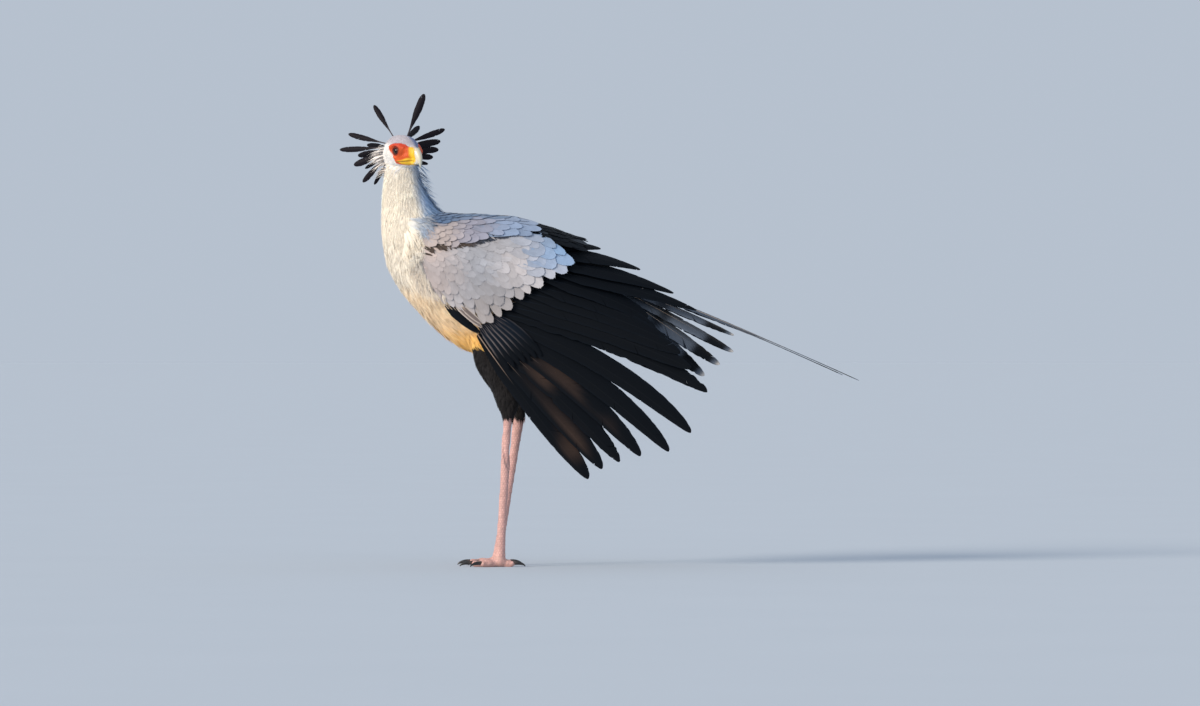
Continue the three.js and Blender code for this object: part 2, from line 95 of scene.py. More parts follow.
def dot(a, b):
    return (a * b).sum(-1, keepdims=True)


def ease(value, low, high):
    share = np.clip((value - low) / (high - low), 0, 1)
    return share * share * (3 - 2 * share)


def blend(a, b, share):
    return a + (b - a) * share


def washed(tint, *washes):
    """A tint under one wash after another, each a colour and its share at every place."""
    for colour, share in washes:
        tint = blend(tint, colour, np.asarray(share)[..., None])
    return tint


def picked(which, *values):
    return [value[which] for value in values]


def spline(rows, places):
    """Rows of numbers as a smooth curve, read at places from 0 to 1."""
    rows = np.asarray(rows, float)
    knots = np.array([2 * rows[0] - rows[1], *rows, 2 * rows[-1] - rows[-2]])
    where = np.clip(places, 0, 1) * (len(rows) - 1)
    index = np.minimum(where.astype(int), len(rows) - 2)
    t = (where - index)[:, None]
    a, b, c, d = (knots[index + k] for k in range(4))
    curve = (2 * a - 5 * b + 4 * c - d) * t**2 + (3 * b - a - 3 * c + d) * t**3
    return 0.5 * (2 * b + (c - a) * t + curve)


def bow(root, tip, bend, places):
    """Points along a bent line from root to tip whose middle is pulled aside by bend."""
    middle = (root + tip) / 2 + bend
    t = np.asarray(places)[:, None]
    return (1 - t) ** 2 * root + 2 * t * (1 - t) * middle + t**2 * tip


def circle(sides):
    return np.arange(sides) / sides * FULL_TURN


def around(side, up, turn):
    """Rings of points round a line, one ring for each pair of directions."""
    return side[:, None] * np.cos(turn)[:, None] + up[:, None] * np.sin(turn)[:, None]


# Meshes

def read(items, title, width, kind=np.float32):
    values = np.empty(len(items) * width, kind)
    items.foreach_get(title, values)
    return values.reshape(-1, width)


def write(items, title, values, kind=np.float32):
    items.foreach_set(title, np.asarray(values).astype(kind).ravel())


def coordinates(mesh):
    return read(mesh.vertices, "co", 3).astype(float) / MM


def move_to(mesh, points):
    write(mesh.vertices, "co", points * MM)


def normals_of(mesh):
    mesh.update()
    return read(mesh.vertex_normals, "vector", 3).astype(float)


def put(name, data):
    """A new object in the scene."""
    obj = bpy.data.objects.new(name, data)
    bpy.context.scene.collection.objects.link(obj)
    return obj


def worked_out(obj):
    """The mesh that an object's modifiers make."""
    bpy.context.view_layer.update()
    return bpy.data.meshes.new_from_object(obj.evaluated_get(bpy.context.evaluated_depsgraph_get()))


def smooth(mesh):
    write(mesh.polygons, "use_smooth", np.ones(len(mesh.polygons)), bool)
    mesh.update()


def paint(mesh, tint):
    layer = mesh.color_attributes.new("Tint", "FLOAT_COLOR", "POINT")
    write(layer.data, "color", np.column_stack([tint, np.ones(len(tint))]))


def piece(name, points, triangles, material, tint, maps=None, replaces=()):
    mesh = bpy.data.meshes.new(name)
    mesh.vertices.add(len(points))
    mesh.loops.add(triangles.size)
    mesh.polygons.add(len(triangles))
    move_to(mesh, points)
    write(mesh.loops, "vertex_index", triangles, np.int32)
    write(mesh.polygons, "loop_start", np.arange(len(triangles)) * 3, np.int32)
    smooth(mesh)
    for title, places in (maps or {}).items():
        write(mesh.uv_layers.new(name=title).data, "uv", places[triangles.ravel()])
    paint(mesh, tint)
    return finished(put(name, mesh), material, replaces)


def finished(obj, material, replaces=()):
    obj.data.materials.clear()
    obj.data.materials.append(material)
    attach(obj, "root")
    if replaces:
        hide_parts(*replaces)
    return obj


class Heap:
    """Collects many small meshes into one piece."""

    def __init__(self):
        self.points, self.triangles, self.tint, self.maps, self.count = [], [], [], {}, 0

    def add(self, points, triangles, tint, **maps):
        self.points.append(points)
        self.triangles.append(triangles + self.count)
        self.tint.append(np.broadcast_to(tint, (len(points), 3)))
        for title, places in maps.items():
            self.maps.setdefault(title, []).append(places)
        self.count += len(points)

    def piece(self, name, material, slot, replaces=()):
        points, triangles, tint = (np.concatenate(v) for v in (self.points, self.triangles, self.tint))
        maps = {title: np.concatenate(places) for title, places in self.maps.items()}
        return piece(name, points, triangles, material, tint, maps, replaces)


def grid_faces(rows, columns, closed=False):
    """Triangles of a grid of points, closed round its columns if asked."""
    across = np.arange(columns if closed else columns - 1)
    row, column = np.meshgrid(np.arange(rows - 1), across, indexing="ij")
    a = row * columns + column
    b = row * columns + (column + 1) % columns
    c, d = a + columns, b + columns
    return np.concatenate([np.stack([a, b, d], -1).reshape(-1, 3), np.stack([a, d, c], -1).reshape(-1, 3)])


def closed_loft(rings):
    """Rings of points [ring, place, xyz] as one closed skin, with a pole at each end."""
    count, sides = rings.shape[:2]
    points = np.concatenate([rings.reshape(-1, 3), rings[:1].mean(1), rings[-1:].mean(1)])
    first, last = count * sides, count * sides + 1
    k = np.arange(sides)
    after = (k + 1) % sides
    final = (count - 1) * sides
    low = np.stack([k, np.full(sides, first), after], -1)
    high = np.stack([final + k, final + after, np.full(sides, last)], -1)
    faces = np.concatenate([grid_faces(count, sides, True), low, high])
    a, b, c = (points[faces[:, i]] for i in range(3))
    volume = (a * np.cross(b, c)).sum()
    return points, faces if volume > 0 else faces[:, ::-1]


# Node trees and materials

class Socket:
    """A node's value that takes part in Python sums."""

    def __init__(self, nodes, output):
        self.nodes, self.output = nodes, output

    def maths(self, operation, *others):
        return self.nodes.node("ShaderNodeMath", {"operation": operation}, [self, *others])

    def __add__(self, other):
        return self.maths("ADD", other)

    def __sub__(self, other):
        return self.maths("SUBTRACT", other)

    def __rsub__(self, other):
        return self * -1 + other

    def __mul__(self, other):
        return self.maths("MULTIPLY", other)

    def __pow__(self, other):
        return self.maths("POWER", other)

    __radd__, __rmul__ = __add__, __mul__

    def between(self, low, high):
        return self.nodes.node("ShaderNodeMapRange", {"interpolation_type": "SMOOTHSTEP"},
                               {"Value": self, "From Min": low, "From Max": high})


class Nodes:
    """Builds a node tree."""

    def __init__(self, tree):
        self.tree = tree

    def fill(self, node, values):
        """Sets a node's inputs, by their names or in their order."""
        for title, value in values.items() if isinstance(values, dict) else enumerate(values):
            if isinstance(value, Socket):
                self.tree.links.new(value.output, node.inputs[title])
            else:
                node.inputs[title].default_value = value

    def made(self, kind, settings=(), values=()):
        node = self.tree.nodes.new(kind)
        for title, value in dict(settings).items():
            setattr(node, title, value)
        self.fill(node, values)
        return node

    def node(self, kind, settings=(), values=(), output=0):
        return Socket(self, self.made(kind, settings, values).outputs[output])

    def axes(self, vector):
        return [Socket(self, output) for output in self.made("ShaderNodeSeparateXYZ", (), [vector]).outputs]

    def vector(self, x, y, z=0.0):
        return self.node("ShaderNodeCombineXYZ", (), [x, y, z])


class Shader(Nodes):
    """Builds one material's nodes."""

    def __init__(self, name, **constant):
        self.material = bpy.data.materials.new(name)
        self.material.use_nodes = True
        super().__init__(self.material.node_tree)
        self.tree.nodes.clear()
        self.surface = self.made("ShaderNodeBsdfPrincipled")
        self.made("ShaderNodeOutputMaterial", (), [Socket(self, self.surface.outputs[0])])
        self.finish(**constant)

    def finish(self, **values):
        self.fill(self.surface, {title.replace("_", " "): value for title, value in values.items()})
        return self.material

    def place(self):
        return self.node("ShaderNodeTexCoord", output="Object")

    def noise(self, scale, detail=2.0, vector=None):
        values = {"Vector": vector or self.place(), "Scale": scale, "Detail": detail}
        return self.node("ShaderNodeTexNoise", (), values)

    def mix(self, share, a, b, way="MIX"):
        return self.node("ShaderNodeMix", {"data_type": "RGBA", "blend_type": way},
                         {0: share, 6: a, 7: b}, output=2)

    def lit(self, light, green=None):
        """The piece's tint times a light, whose green may differ."""
        tint = self.node("ShaderNodeAttribute", {"attribute_name": "Tint"})
        return self.mix(1.0, tint, self.vector(light, green or light, light), "MULTIPLY")

    def bump(self, height, strength, distance):
        return self.node("ShaderNodeBump", (), {"Strength": strength, "Distance": distance, "Height": height})


def plumage(name, streaks, contrast, roughness, sheen):
    """Soft loose feathers: the tint with fine streaks and mottling along each blade."""
    s = Shader(name, Sheen_Weight=sheen, Sheen_Roughness=0.5, Specular_IOR_Level=0.25)
    across, along, _ = s.axes(s.node("ShaderNodeUVMap", {"uv_map": "Vane"}))
    barbs = s.noise(1.0, 3.0, s.vector(across * streaks, along * 4.0))
    mottle = s.noise(70.0, 3.0)
    edge = 1 - (across * 2 - 1) ** 2.0
    light = barbs * contrast + mottle * 0.35 + edge * 0.12 + (0.76 - contrast * 0.5)
    return s.finish(Base_Color=s.lit(light), Roughness=barbs * 0.15 + (roughness - 0.07),
                    Normal=s.bump(barbs, 0.35, 0.0006))


def vane(name, roughness, sheen, coat):
    """Stiff feathers: slanting barbs either side of a shaft, with a soft gloss along them."""
    s = Shader(name, Sheen_Weight=sheen, Sheen_Roughness=0.4, Specular_IOR_Level=0.12, Coat_Roughness=0.4)
    across, along, _ = s.axes(s.node("ShaderNodeUVMap", {"uv_map": "Vane"}))
    off = (across - 0.5).maths("ABSOLUTE") * 2
    slant = along - off * 0.06
    comb_light = (slant * BARBS).maths("SINE") * 0.5 + 0.5
    web = s.noise(1.0, 3.0, s.vector(across * 5, slant * (BARBS * 0.16)))
    broad = s.noise(1.0, 2.0, s.vector(across * 3, slant * 9))
    shaft = 1 - off.between(0.02, 0.075)
    return s.finish(Base_Color=s.lit(web * 0.5 + comb_light * 0.1 + broad * 0.3 + 0.55),
                    Roughness=web * 0.25 + (roughness - 0.1), Coat_Weight=shaft * coat,
                    Normal=s.bump(comb_light * 0.5 + web, 0.25, 0.0004))


def horn(name, roughness, coat, streak, contrast):
    s = Shader(name, Specular_IOR_Level=0.5, Coat_Roughness=0.12)
    x, y, z = s.axes(s.place())
    layers = s.noise(1.0, 4.0, s.vector(x * streak, y * streak, z * streak * 0.3))
    fine = s.noise(900.0, 3.0)
    return s.finish(Base_Color=s.lit(layers * contrast + fine * 0.12 + (0.94 - contrast * 0.5)),
                    Roughness=layers * 0.2 + (roughness - 0.1), Coat_Weight=coat + fine * 0.05,
                    Normal=s.bump(layers * 0.6 + fine * 0.5, 0.18, 0.0004))


def wet_eye():
    s = Shader("wet_eye", Specular_IOR_Level=0.1, Coat_Roughness=0.02, Coat_IOR=1.36)
    fine = s.noise(1500.0, 3.0)
    return s.finish(Base_Color=s.lit(fine * 0.5 + 0.75), Roughness=fine * 0.06 + 0.1,
                    Coat_Weight=fine * 0.02 + 0.97)


def scale_finish():
    s = Shader("leg_scale", Specular_IOR_Level=0.45)
    blotch, fine = s.noise(90.0, 3.0), s.noise(1100.0, 3.0)
    light = blotch * 0.5 + fine * 0.2 + 0.66
    return s.finish(Base_Color=s.lit(light, light * 0.98), Roughness=fine * 0.2 + 0.38,
                    Normal=s.bump(fine + blotch, 0.25, 0.0004))


def skin_finish():
    s = Shader("bare_skin", Specular_IOR_Level=0.4, Subsurface_Weight=0.08, Subsurface_Scale=0.003)
    bare = s.node("ShaderNodeAttribute", {"attribute_name": "Bare"}, output=2)
    pores = s.node("ShaderNodeTexVoronoi", (), {"Vector": s.place(), "Scale": 900.0})
    blotch, fine = s.noise(140.0, 4.0), s.noise(600.0, 4.0)
    return s.finish(Base_Color=s.lit(blotch * 0.45 + fine * 0.3 + 0.62),
                    Roughness=0.85 - bare * 0.4 + fine * 0.1, Normal=s.bump(pores * 0.7 + fine, 0.35, 0.0006))


BARBS = 240.0
SOFT = plumage("soft_feathers", 14.0, 0.28, 0.9, 0.25)
SOFT_BLACK = plumage("black_down", 12.0, 0.7, 0.85, 0.12)
SLEEK = plumage("sleek_feathers", 22.0, 0.42, 0.8, 0.18)
STIFF = vane("stiff_feathers", 0.6, 0.0, 0.1)
STIFF_GREY = vane("tail_feathers", 0.65, 0.08, 0.2)
HORN = horn("bill_horn", 0.34, 0.35, 160.0, 0.3)
CLAW_HORN = horn("claw_horn", 0.36, 0.4, 300.0, 0.4)
EYE_GLOSS = wet_eye()
SCALE = scale_finish()
HAIR = plumage("lash", 3.0, 0.3, 0.5, 0.05)


# Head frame: along towards the bill, left, and up, from the middle of the skull

def turned(angle, a, b):
    """A turn by some degrees in the plane of two axes."""
    matrix = np.eye(3)
    matrix[[a, b], [a, b]] = math.cos(math.radians(angle))
    matrix[b, a] = math.sin(math.radians(angle))
    matrix[a, b] = -matrix[b, a]
    return matrix


HEAD_AT = np.array([-430.0, -8.0, 908.0])
TURN = turned(-52, 0, 1) @ turned(9, 2, 0)
HEAD_REACH = 75
EYE = np.array([16.0, 26.0, 6.5])
EYE_RADIUS = 9.5


def from_head(points):
    return np.asarray(points, float) @ TURN.T + HEAD_AT


def to_head(points):
    return (points - HEAD_AT) @ TURN


def head_places(points):
    """How far places are ahead of the middle of the skull, aside and up, and the places in its frame."""
    local = to_head(points)
    return local[:, 0], np.abs(local[:, 1]), local[:, 2], local


def near_head(points, reach):
    return np.linalg.norm(points - HEAD_AT, axis=1) < reach


# Lines and outlines seen from the side

def gap_to(line, x, z):
    line = np.array(line, float)
    start, step = line[:-1], np.diff(line, axis=0)
    place = np.stack([x, z], -1)[:, None]
    share = np.clip(dot(place - start, step) / dot(step, step), 0, 1)
    return np.linalg.norm(place - start - share * step, axis=-1).min(1)


def inside(outline, x, z, soft):
    """How far a place is inside an outline, from 0 outside to 1 at soft millimetres within."""
    line = np.array([*outline, outline[0]], float)
    left, low = line[:-1].T
    run, rise = np.diff(line, axis=0).T
    crosses = (low > z[:, None]) != (line[1:, 1] > z[:, None])
    reach = left + (z[:, None] - low) / np.where(rise == 0, 1, rise) * run
    within = (crosses & (x[:, None] < reach)).sum(1) % 2 == 1
    gap = gap_to(line, x, z)
    return ease(np.where(within, gap, -gap), -soft, soft)


def ridge_at(x, z, line, width):
    """A soft ridge along a line."""
    return np.exp(-((gap_to(line, x, z) / width) ** 2))


def bump_at(x, z, centre, reach, power=2.0):
    r = np.sqrt(((x - centre[0]) / reach[0]) ** 2 + ((z - centre[1]) / reach[1]) ** 2)
    return np.exp(-(r**power))


# Wings: the form they are wrapped on, from the ridge of the back down each side

RIDGE = np.array([(-400, 780), (-352, 779), (-315, 776), (-261, 774), (-190, 770), (-140, 757), (-113, 750),
                  (-64, 733), (-26, 719), (2, 704), (94, 655), (168, 602), (217, 570), (300, 520)], float).T
WING_HALF, WING_ARCH = 108.0, 125.0
ARC = WING_ARCH * math.pi / 2


def on_wing(sign, x, s, depth):
    """Points and normals of the wing's form: s is the way down from the ridge, depth the way in."""
    x, s, depth = np.broadcast_arrays(x, s, depth)
    angle = np.minimum(s / ARC, 1) * math.pi / 2
    below = np.maximum(s - ARC, 0)
    y = (WING_HALF - depth) * np.sin(angle) - 0.06 * below
    z = np.interp(x, *RIDGE) - WING_ARCH + (WING_ARCH - depth) * np.cos(angle) - below
    lean = np.interp(x, [-352, -190, -113, 2, 94], [0.0, 0.05, 0.25, 0.35, 0.5]) * np.cos(angle)
    normals = np.stack([lean, sign * np.sin(angle), np.cos(angle)], -1)
    return np.stack([x, y * sign, z], -1), unit(normals)


def down_from_ridge(x, z):
    fall = np.interp(x, *RIDGE) - z
    angle = np.arccos(np.clip(1 - fall / WING_ARCH, 0, 1))
    return np.where(fall > WING_ARCH, ARC + fall - WING_ARCH, angle / (math.pi / 2) * ARC)


# Outline of the pad of coverts, its rear edge from the top down, and the way its feathers point
COVERT_EDGE = [(-391, 644), (-383, 672), (-366, 690), (-330, 700), (-292, 703), (-251, 709), (-196, 722),
               (-135, 716), (-96, 699), (-62, 681), (-51, 664), (-67, 644), (-98, 630), (-118, 612),
               (-158, 591), (-182, 568), (-227, 536), (-250, 529), (-284, 552), (-313, 567), (-346, 575),
               (-367, 588), (-381, 606)]
REAR_EDGE = [(-62, 684), *COVERT_EDGE[10:16], (-205, 551), *COVERT_EDGE[16:22]]
SHADOW_LINE = np.array([(-376, 670), (-355, 697), (-300, 706), (-250, 713), (-190, 726)]).T
MANTLE_LINE = np.array([(-380, 700), (-360, 730), (-325, 750), (-285, 760), (-250, 764), (-165, 764)]).T
COVERT_WAYS = np.array([(-52, 667, -20), (-67, 644, -27), (-98, 630, -32), (-118, 613, -34), (-158, 591, -42),
                        (-182, 568, -48), (-227, 536, -62), (-250, 530, -66), (-313, 567, -64),
                        (-367, 588, -72), (-150, 700, -22), (-100, 690, -22), (-200, 650, -38),
                        (-250, 620, -52), (-300, 620, -62), (-350, 640, -68), (-200, 700, -25),
                        (-300, 680, -40), (-350, 680, -50)], float)


def covert_angle(x, z):
    gap = (x[:, None] - COVERT_WAYS[:, 0]) ** 2 + (z[:, None] - COVERT_WAYS[:, 1]) ** 2 + 60
    weight = 1 / gap**2
    return np.radians((weight @ COVERT_WAYS[:, 2]) / weight.sum(1))


# The one skin: copies of the flesh are fused, rounded, and drawn in by the depth of the coat

COAT_DEPTH = {"head": 2.2, "bill": 1.6, "eye": 1.0, "neck": 6.5, "trunk": 8.0, "thigh": 6.0, "shank": 0.3,
              "foot": 0.3, "wing": 3.2}
SOFTNESS = {"head": 0.45, "bill": 0.05, "eye": 0.1, "neck": 1.0, "trunk": 1.0, "thigh": 0.5, "shank": 0.16,
            "foot": 0.1, "wing": 0.3}
KINDS = list(COAT_DEPTH)
FLESH = sorted(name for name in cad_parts
               if name.split("_")[0] in KINDS and not name.endswith(("hand", "arm", "back")))
COVERED = [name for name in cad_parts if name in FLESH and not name.startswith(("bill", "eye"))]
FACE_ZONE = 58.0
# Head, legs and the rest each have a rectangle [left, low, width, height] of the map
UNWRAP_ZONES = [(0.0, 0.0, 1.0, 0.56), (0.0, 0.57, 0.43, 0.43), (0.44, 0.57, 0.56, 0.43)]


def is_kind(kinds, *names):
    return np.isin(kinds, [KINDS.index(name) for name in names])


def fused_flesh():
    whole = bmesh.new()
    for name in FLESH:
        part = bmesh.new()
        part.from_mesh(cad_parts[name].data)
        bmesh.ops.remove_doubles(part, verts=part.verts, dist=1e-5)
        part.normal_update()
        for vert in part.verts:
            vert.co += vert.normal * 0.5 * MM
        mesh = bpy.data.meshes.new("flesh")
        part.to_mesh(mesh)
        whole.from_mesh(mesh)
        part.free()
        bpy.data.meshes.remove(mesh)
    mesh = bpy.data.meshes.new("skin")
    whole.to_mesh(mesh)
    whole.free()
    obj = put("skin", mesh)
    remesh = obj.modifiers.new("fuse", "REMESH")
    remesh.mode, remesh.voxel_size = "VOXEL", SKIN_VOXEL * MM
    fused = worked_out(obj)
    obj.modifiers.clear()
    obj.data = fused
    return obj


def flesh_kinds(points):
    """For each point the number in KINDS of the flesh it lies nearest to."""
    corners, kinds = [], []
    for name in FLESH:
        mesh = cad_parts[name].data
        places = coordinates(mesh)
        corners += [places[list(polygon.vertices)] for polygon in mesh.polygons]
        kinds += [KINDS.index(name.split("_")[0])] * len(mesh.polygons)
    flat = np.concatenate(corners)
    tree = BVHTree.FromPolygons(flat.tolist(), np.arange(len(flat)).reshape(-1, 3).tolist())
    return np.array([kinds[tree.find_nearest(p)[2]] for p in points.tolist()])


def relax(values, edges, rounds, give=0.5):
    """Moves values towards the mean of their neighbours, each by its own give."""
    count = np.maximum(np.bincount(edges.ravel(), minlength=len(values)), 1)[:, None]
    for _ in range(rounds):
        total = np.zeros_like(values)
        for k in range(values.shape[1]):
            total[:, k] = (np.bincount(edges[:, 0], values[edges[:, 1], k], len(values))
                           + np.bincount(edges[:, 1], values[edges[:, 0], k], len(values)))
        values = values + (total / count - values) * give
    return values


def unwrap(obj, zones):
    """Lays each zone's faces out in its own rectangle of the map."""
    mesh = obj.data
    mesh.uv_layers.new(name="OFBake")
    bpy.context.view_layer.objects.active = obj
    obj.select_set(True)
    loops = np.repeat(zones, np.fromiter((p.loop_total for p in mesh.polygons), int))
    placed = np.zeros((len(mesh.loops), 2), np.float32)
    for zone, (left, low, width, height) in enumerate(UNWRAP_ZONES):
        for polygon, chosen in zip(mesh.polygons, zones == zone):
            polygon.select = bool(chosen)
        bpy.ops.object.mode_set(mode="EDIT")
        bpy.ops.uv.smart_project(angle_limit=math.radians(66), island_margin=0.004)
        bpy.ops.object.mode_set(mode="OBJECT")
        places = read(mesh.uv_layers["OFBake"].data, "uv", 2)
        placed[loops == zone] = places[loops == zone] * [width, height] + [left, low]
    write(mesh.uv_layers["OFBake"].data, "uv", placed)
    obj.select_set(False)


def refine(mesh, near, cuts):
    """Subdivides the edges whose ends are both near, and says where all points are now."""
    work = bmesh.new()
    work.from_mesh(mesh)
    edges = [e for e in work.edges if near[e.verts[0].index] and near[e.verts[1].index]]
    bmesh.ops.subdivide_edges(work, edges=edges, cuts=cuts, use_grid_fill=True)
    work.to_mesh(mesh)
    work.free()
    return coordinates(mesh)


# The bare face and its lines, in the head frame [ahead, up]

FACE_EDGE = [(-8, 12), (-3, 19), (8, 23), (20, 24.5), (31, 23), (38, 19), (45, 19), (52, 14), (58, 0),
             (56, -14), (46, -21), (34, -22.5), (22, -22.5), (16, -21), (14, -13), (10, -5), (1, 2)]
GAPE = [(20, -16), (30, -12), (40, -6), (50, -4), (58, -10), (54, -22), (40, -22), (28, -21)]
MOUTH = [(18, -18), (30, -15.5), (42, -12), (52, -11)]
LIP = [(18, -15.5), (30, -12.6), (42, -9), (52, -8)]
BROW = [(-2, 14), (6, 18.5), (18, 19.5), (30, 15)]
FACE_FOLDS, EYE_RIPPLES = 7, 4


def from_eye(ahead, up):
    return np.hypot((ahead - EYE[0]) / 1.15, up - EYE[2])


def sculpted_head(points, normals):
    """Sets the eyes in their lids and raises brow, cere, gape and wrinkles."""
    ahead, side, up, local = head_places(points)
    level = ease(np.abs((normals @ TURN)[:, 1]), 0.15, 0.6)
    cheek, lore = bump_at(ahead, up, (8, -12), (16, 12)), bump_at(ahead, up, (35, 5), (8, 7))
    mouth = 0.9 * ridge_at(ahead, up, LIP, 2.0) - 1.3 * ridge_at(ahead, up, MOUTH, 1.0)
    level_rise = 1.2 * cheek - 1.9 * lore
    for k in range(FACE_FOLDS):
        x = 24 + 3.1 * k
        fold = ridge_at(ahead, up, [(x, 15 - 0.6 * k), (x + 1.5, 6), (x - 0.5, -3)], 0.75)
        level_rise = level_rise + fold * (0.5 - 0.04 * k)
    for k in range(EYE_RIPPLES):
        r = from_eye(ahead, up) - (12.4 + 2.4 * k)
        level_rise = level_rise + np.exp(-((r / 0.55) ** 2)) * (0.34 - 0.06 * k)
    brow = 2.6 * ridge_at(ahead, up, BROW, 3.6) * ease(side, 14, 22)
    rise = brow + mouth * ease(side, 4, 8) + level_rise * level
    points = points + normals * rise[:, None]

    ahead, side, up, local = head_places(points)
    across, above = (ahead - EYE[0]) / 8.7, (up - EYE[2]) / np.where(up > EYE[2], 6.6, 7.4)
    r = np.hypot(across, above)
    ball = EYE[1] + np.sqrt(np.maximum(EYE_RADIUS**2 - (8.7 * across) ** 2 - (7.2 * above) ** 2, 0))
    rim = EYE[1] + math.sqrt(EYE_RADIUS**2 - 8.0**2) + 0.8
    upper_lid = 1.1 * np.exp(-(((r - 1.1) / 0.13) ** 2)) * (above > 0)
    lids = rim + 1.7 * np.exp(-(((r - 1.2) / 0.2) ** 2)) + upper_lid
    socket = np.minimum(blend(EYE[1] - 3.0, rim, ease(r, 0.8, 1.0)), ball - 0.6)
    share = (1 - ease(r, 1.35, 2.1)) * (side > 12) * (ahead < 40)
    local[:, 1] = np.sign(local[:, 1]) * blend(side, np.where(r < 1, socket, lids), share)
    slope = ahead + 0.35 * up
    step = (0.6 * ease(ahead, 34, 42) + 0.7 * ease(slope, 44, 51)) * (1 - ease(slope, 54.5, 56.5))
    return from_head(local) + normals * (step - 2.2 * ease(slope, 55, 57.5))[:, None]


def skin_tint(points, kinds):
    """The markings that skin and coat share, from a place on the bird and the kind of flesh under it."""
    x, _, z = points.T
    ahead, _, up, local = head_places(points)
    breast = np.interp(z, [560, 640, 700, 765, 840, 885], [-150, -290, -372, -384, -400, -404])
    mantle = ease(z, 700, 740) * ease(x, -385, -350) * (1 - ease(z, 800, 850))
    belly = ease(-z, -600, -500) * (1 - ease(x, -200, -120))
    throat = ease(-z, -650, -610) * (1 - ease(-z, -580, -540))
    tail = washed(THIGH_BLACK, (TAIL_WHITE, ease(x, 0, 40)))
    # Behind the breast line the neck takes the nape's painted blue shade, and the mantle its painted dark
    # blue shade
    tint = washed(CREAM, (NAPE_SHADE_BLUE, ease(x - breast, -14, 8)), (MANTLE_SHADE_BLUE, mantle * 0.85),
                  (BUFF, belly * 0.95), (BUFF, throat * 0.35), (tail, ease(x, -150, -90)))
    # The far side of the crown is painted blue shade
    shaded_far_side = ease(local[:, 1], -5, 4) * ease(up + ahead * 0.2, -6, 10)
    head = washed(WHITE, (CROWN_GREY, ease(up, 13, 25)), (CROWN_SHADE_BLUE, shaded_far_side * 0.9))
    back = ease(x, -165, -150) * ease(z - np.interp(x, [-150, -50], [742, 692]), -4, 4)
    wing = washed(COVERT_GREY, (THIGH_BLACK, back))
    looks = {"head bill eye": head, "thigh": THIGH_BLACK, "shank foot": LEG_PINK, "wing": wing}
    for names, colour in looks.items():
        tint = np.where(is_kind(kinds, *names.split())[:, None], colour, tint)
    return tint


def face_tint(tint, points):
    ahead, _, up, _ = head_places(points)
    bare = inside(FACE_EDGE, ahead, up, 1.3) * ease(ahead, -14, -8)
    red = np.maximum(ease(up, 12, 20) * 0.8, 1 - inside(FACE_EDGE, ahead, up, 5.0))
    near_eye = from_eye(ahead, up)
    socket, lid = 1 - ease(near_eye, 8.5, 13), np.exp(-(((near_eye - 8.6) / 1.3) ** 2))
    yellow = np.maximum(inside(GAPE, ahead, up, 2.2), ease(ahead + up * 0.22, 41, 46))
    mouth = ridge_at(ahead, up, MOUTH, 0.8)
    face = washed(FACE_ORANGE, (FACE_RED, red * 0.8), (FACE_RED * 0.5, socket * 0.75), (CERE_YELLOW, yellow),
                  (FACE_RED * 0.25, mouth * 0.8), (LID_BROWN, lid * 0.8))
    return washed(tint, (face, bare)), bare


def tucked_pads(points, wing):
    """Moves the wings' pads inwards, and in from their rear edges, so that the feathers hide them."""
    x, y, z = points.T
    inward = -unit(np.stack([0 * x, y, z - np.interp(x, *RIDGE) + WING_ARCH], -1))
    points = points + inward * (9 * wing * ease(x, -172, -142) * ease(z, 692, 706))[:, None]
    wing = wing * ease(np.abs(y), 70, 84)
    near = 22 * (1 - ease(gap_to(REAR_EDGE, x, z), 0, 34)) * wing
    angle = covert_angle(x, z)
    return points - np.stack([near * np.cos(angle), np.sign(y) * 4.5 * wing, near * np.sin(angle)], -1)


def make_skin():
    skin = fused_flesh()
    mesh = skin.data
    points = coordinates(mesh)
    legs = is_kind(flesh_kinds(points), "thigh", "shank", "foot")
    first = np.fromiter((p.vertices[0] for p in mesh.polygons), int)
    unwrap(skin, np.where(near_head(points, FACE_ZONE + 14), 1, np.where(legs, 2, 0))[first])
    points = refine(mesh, (to_head(points)[:, 0] > -16) & near_head(points, FACE_ZONE), 3)
    points = refine(mesh, (points[:, 2] < 30) & (points[:, 0] < -90), 1)
    kinds, edges = flesh_kinds(points), read(mesh.edges, "vertices", 2, np.int32)
    depth = relax(np.array(list(COAT_DEPTH.values()))[kinds][:, None], edges, 8)
    give = relax(np.array(list(SOFTNESS.values()))[kinds][:, None], edges, 4) * 0.6
    points = relax(points, edges, 29, give)
    move_to(mesh, points)
    ahead, _, up, _ = head_places(points)
    bare = inside(FACE_EDGE, ahead, up, 2.0) * near_head(points, HEAD_REACH)
    points = points - normals_of(mesh) * depth * (1 - 0.8 * bare[:, None])
    wing = relax(is_kind(kinds, "wing")[:, None].astype(float), edges, 3)[:, 0]
    points = tucked_pads(points, wing)
    move_to(mesh, points)
    points = sculpted_head(points, normals_of(mesh))
    points[:, 2] = np.maximum(points[:, 2], FLOOR_GAP)
    move_to(mesh, points)
    tint = skin_tint(points, kinds)
    bare = is_kind(kinds, "shank", "foot").astype(float)
    near = near_head(points, HEAD_REACH)
    tint[near], bare[near] = face_tint(tint[near], points[near])
    dull = is_kind(kinds, "head", "bill", "eye", "neck", "trunk")
    paint(mesh, tint * np.where(dull, 0.9, 1.0)[:, None])
    write(mesh.attributes.new("Bare", "FLOAT", "POINT").data, "value", bare)
    smooth(mesh)
    return finished(skin, skin_finish(), COVERED), kinds


# The skin as ground for feathers

def wave(points, reach, seed):
    """Smooth wandering values, mostly from -1 to 1, that change over reach millimetres along x, y and z."""
    draw = np.random.default_rng(seed)
    ways = draw.normal(size=(3, 14))
    return np.sin(points / np.asarray(reach) @ ways + draw.random(14) * 6.3).mean(-1) * 3.2


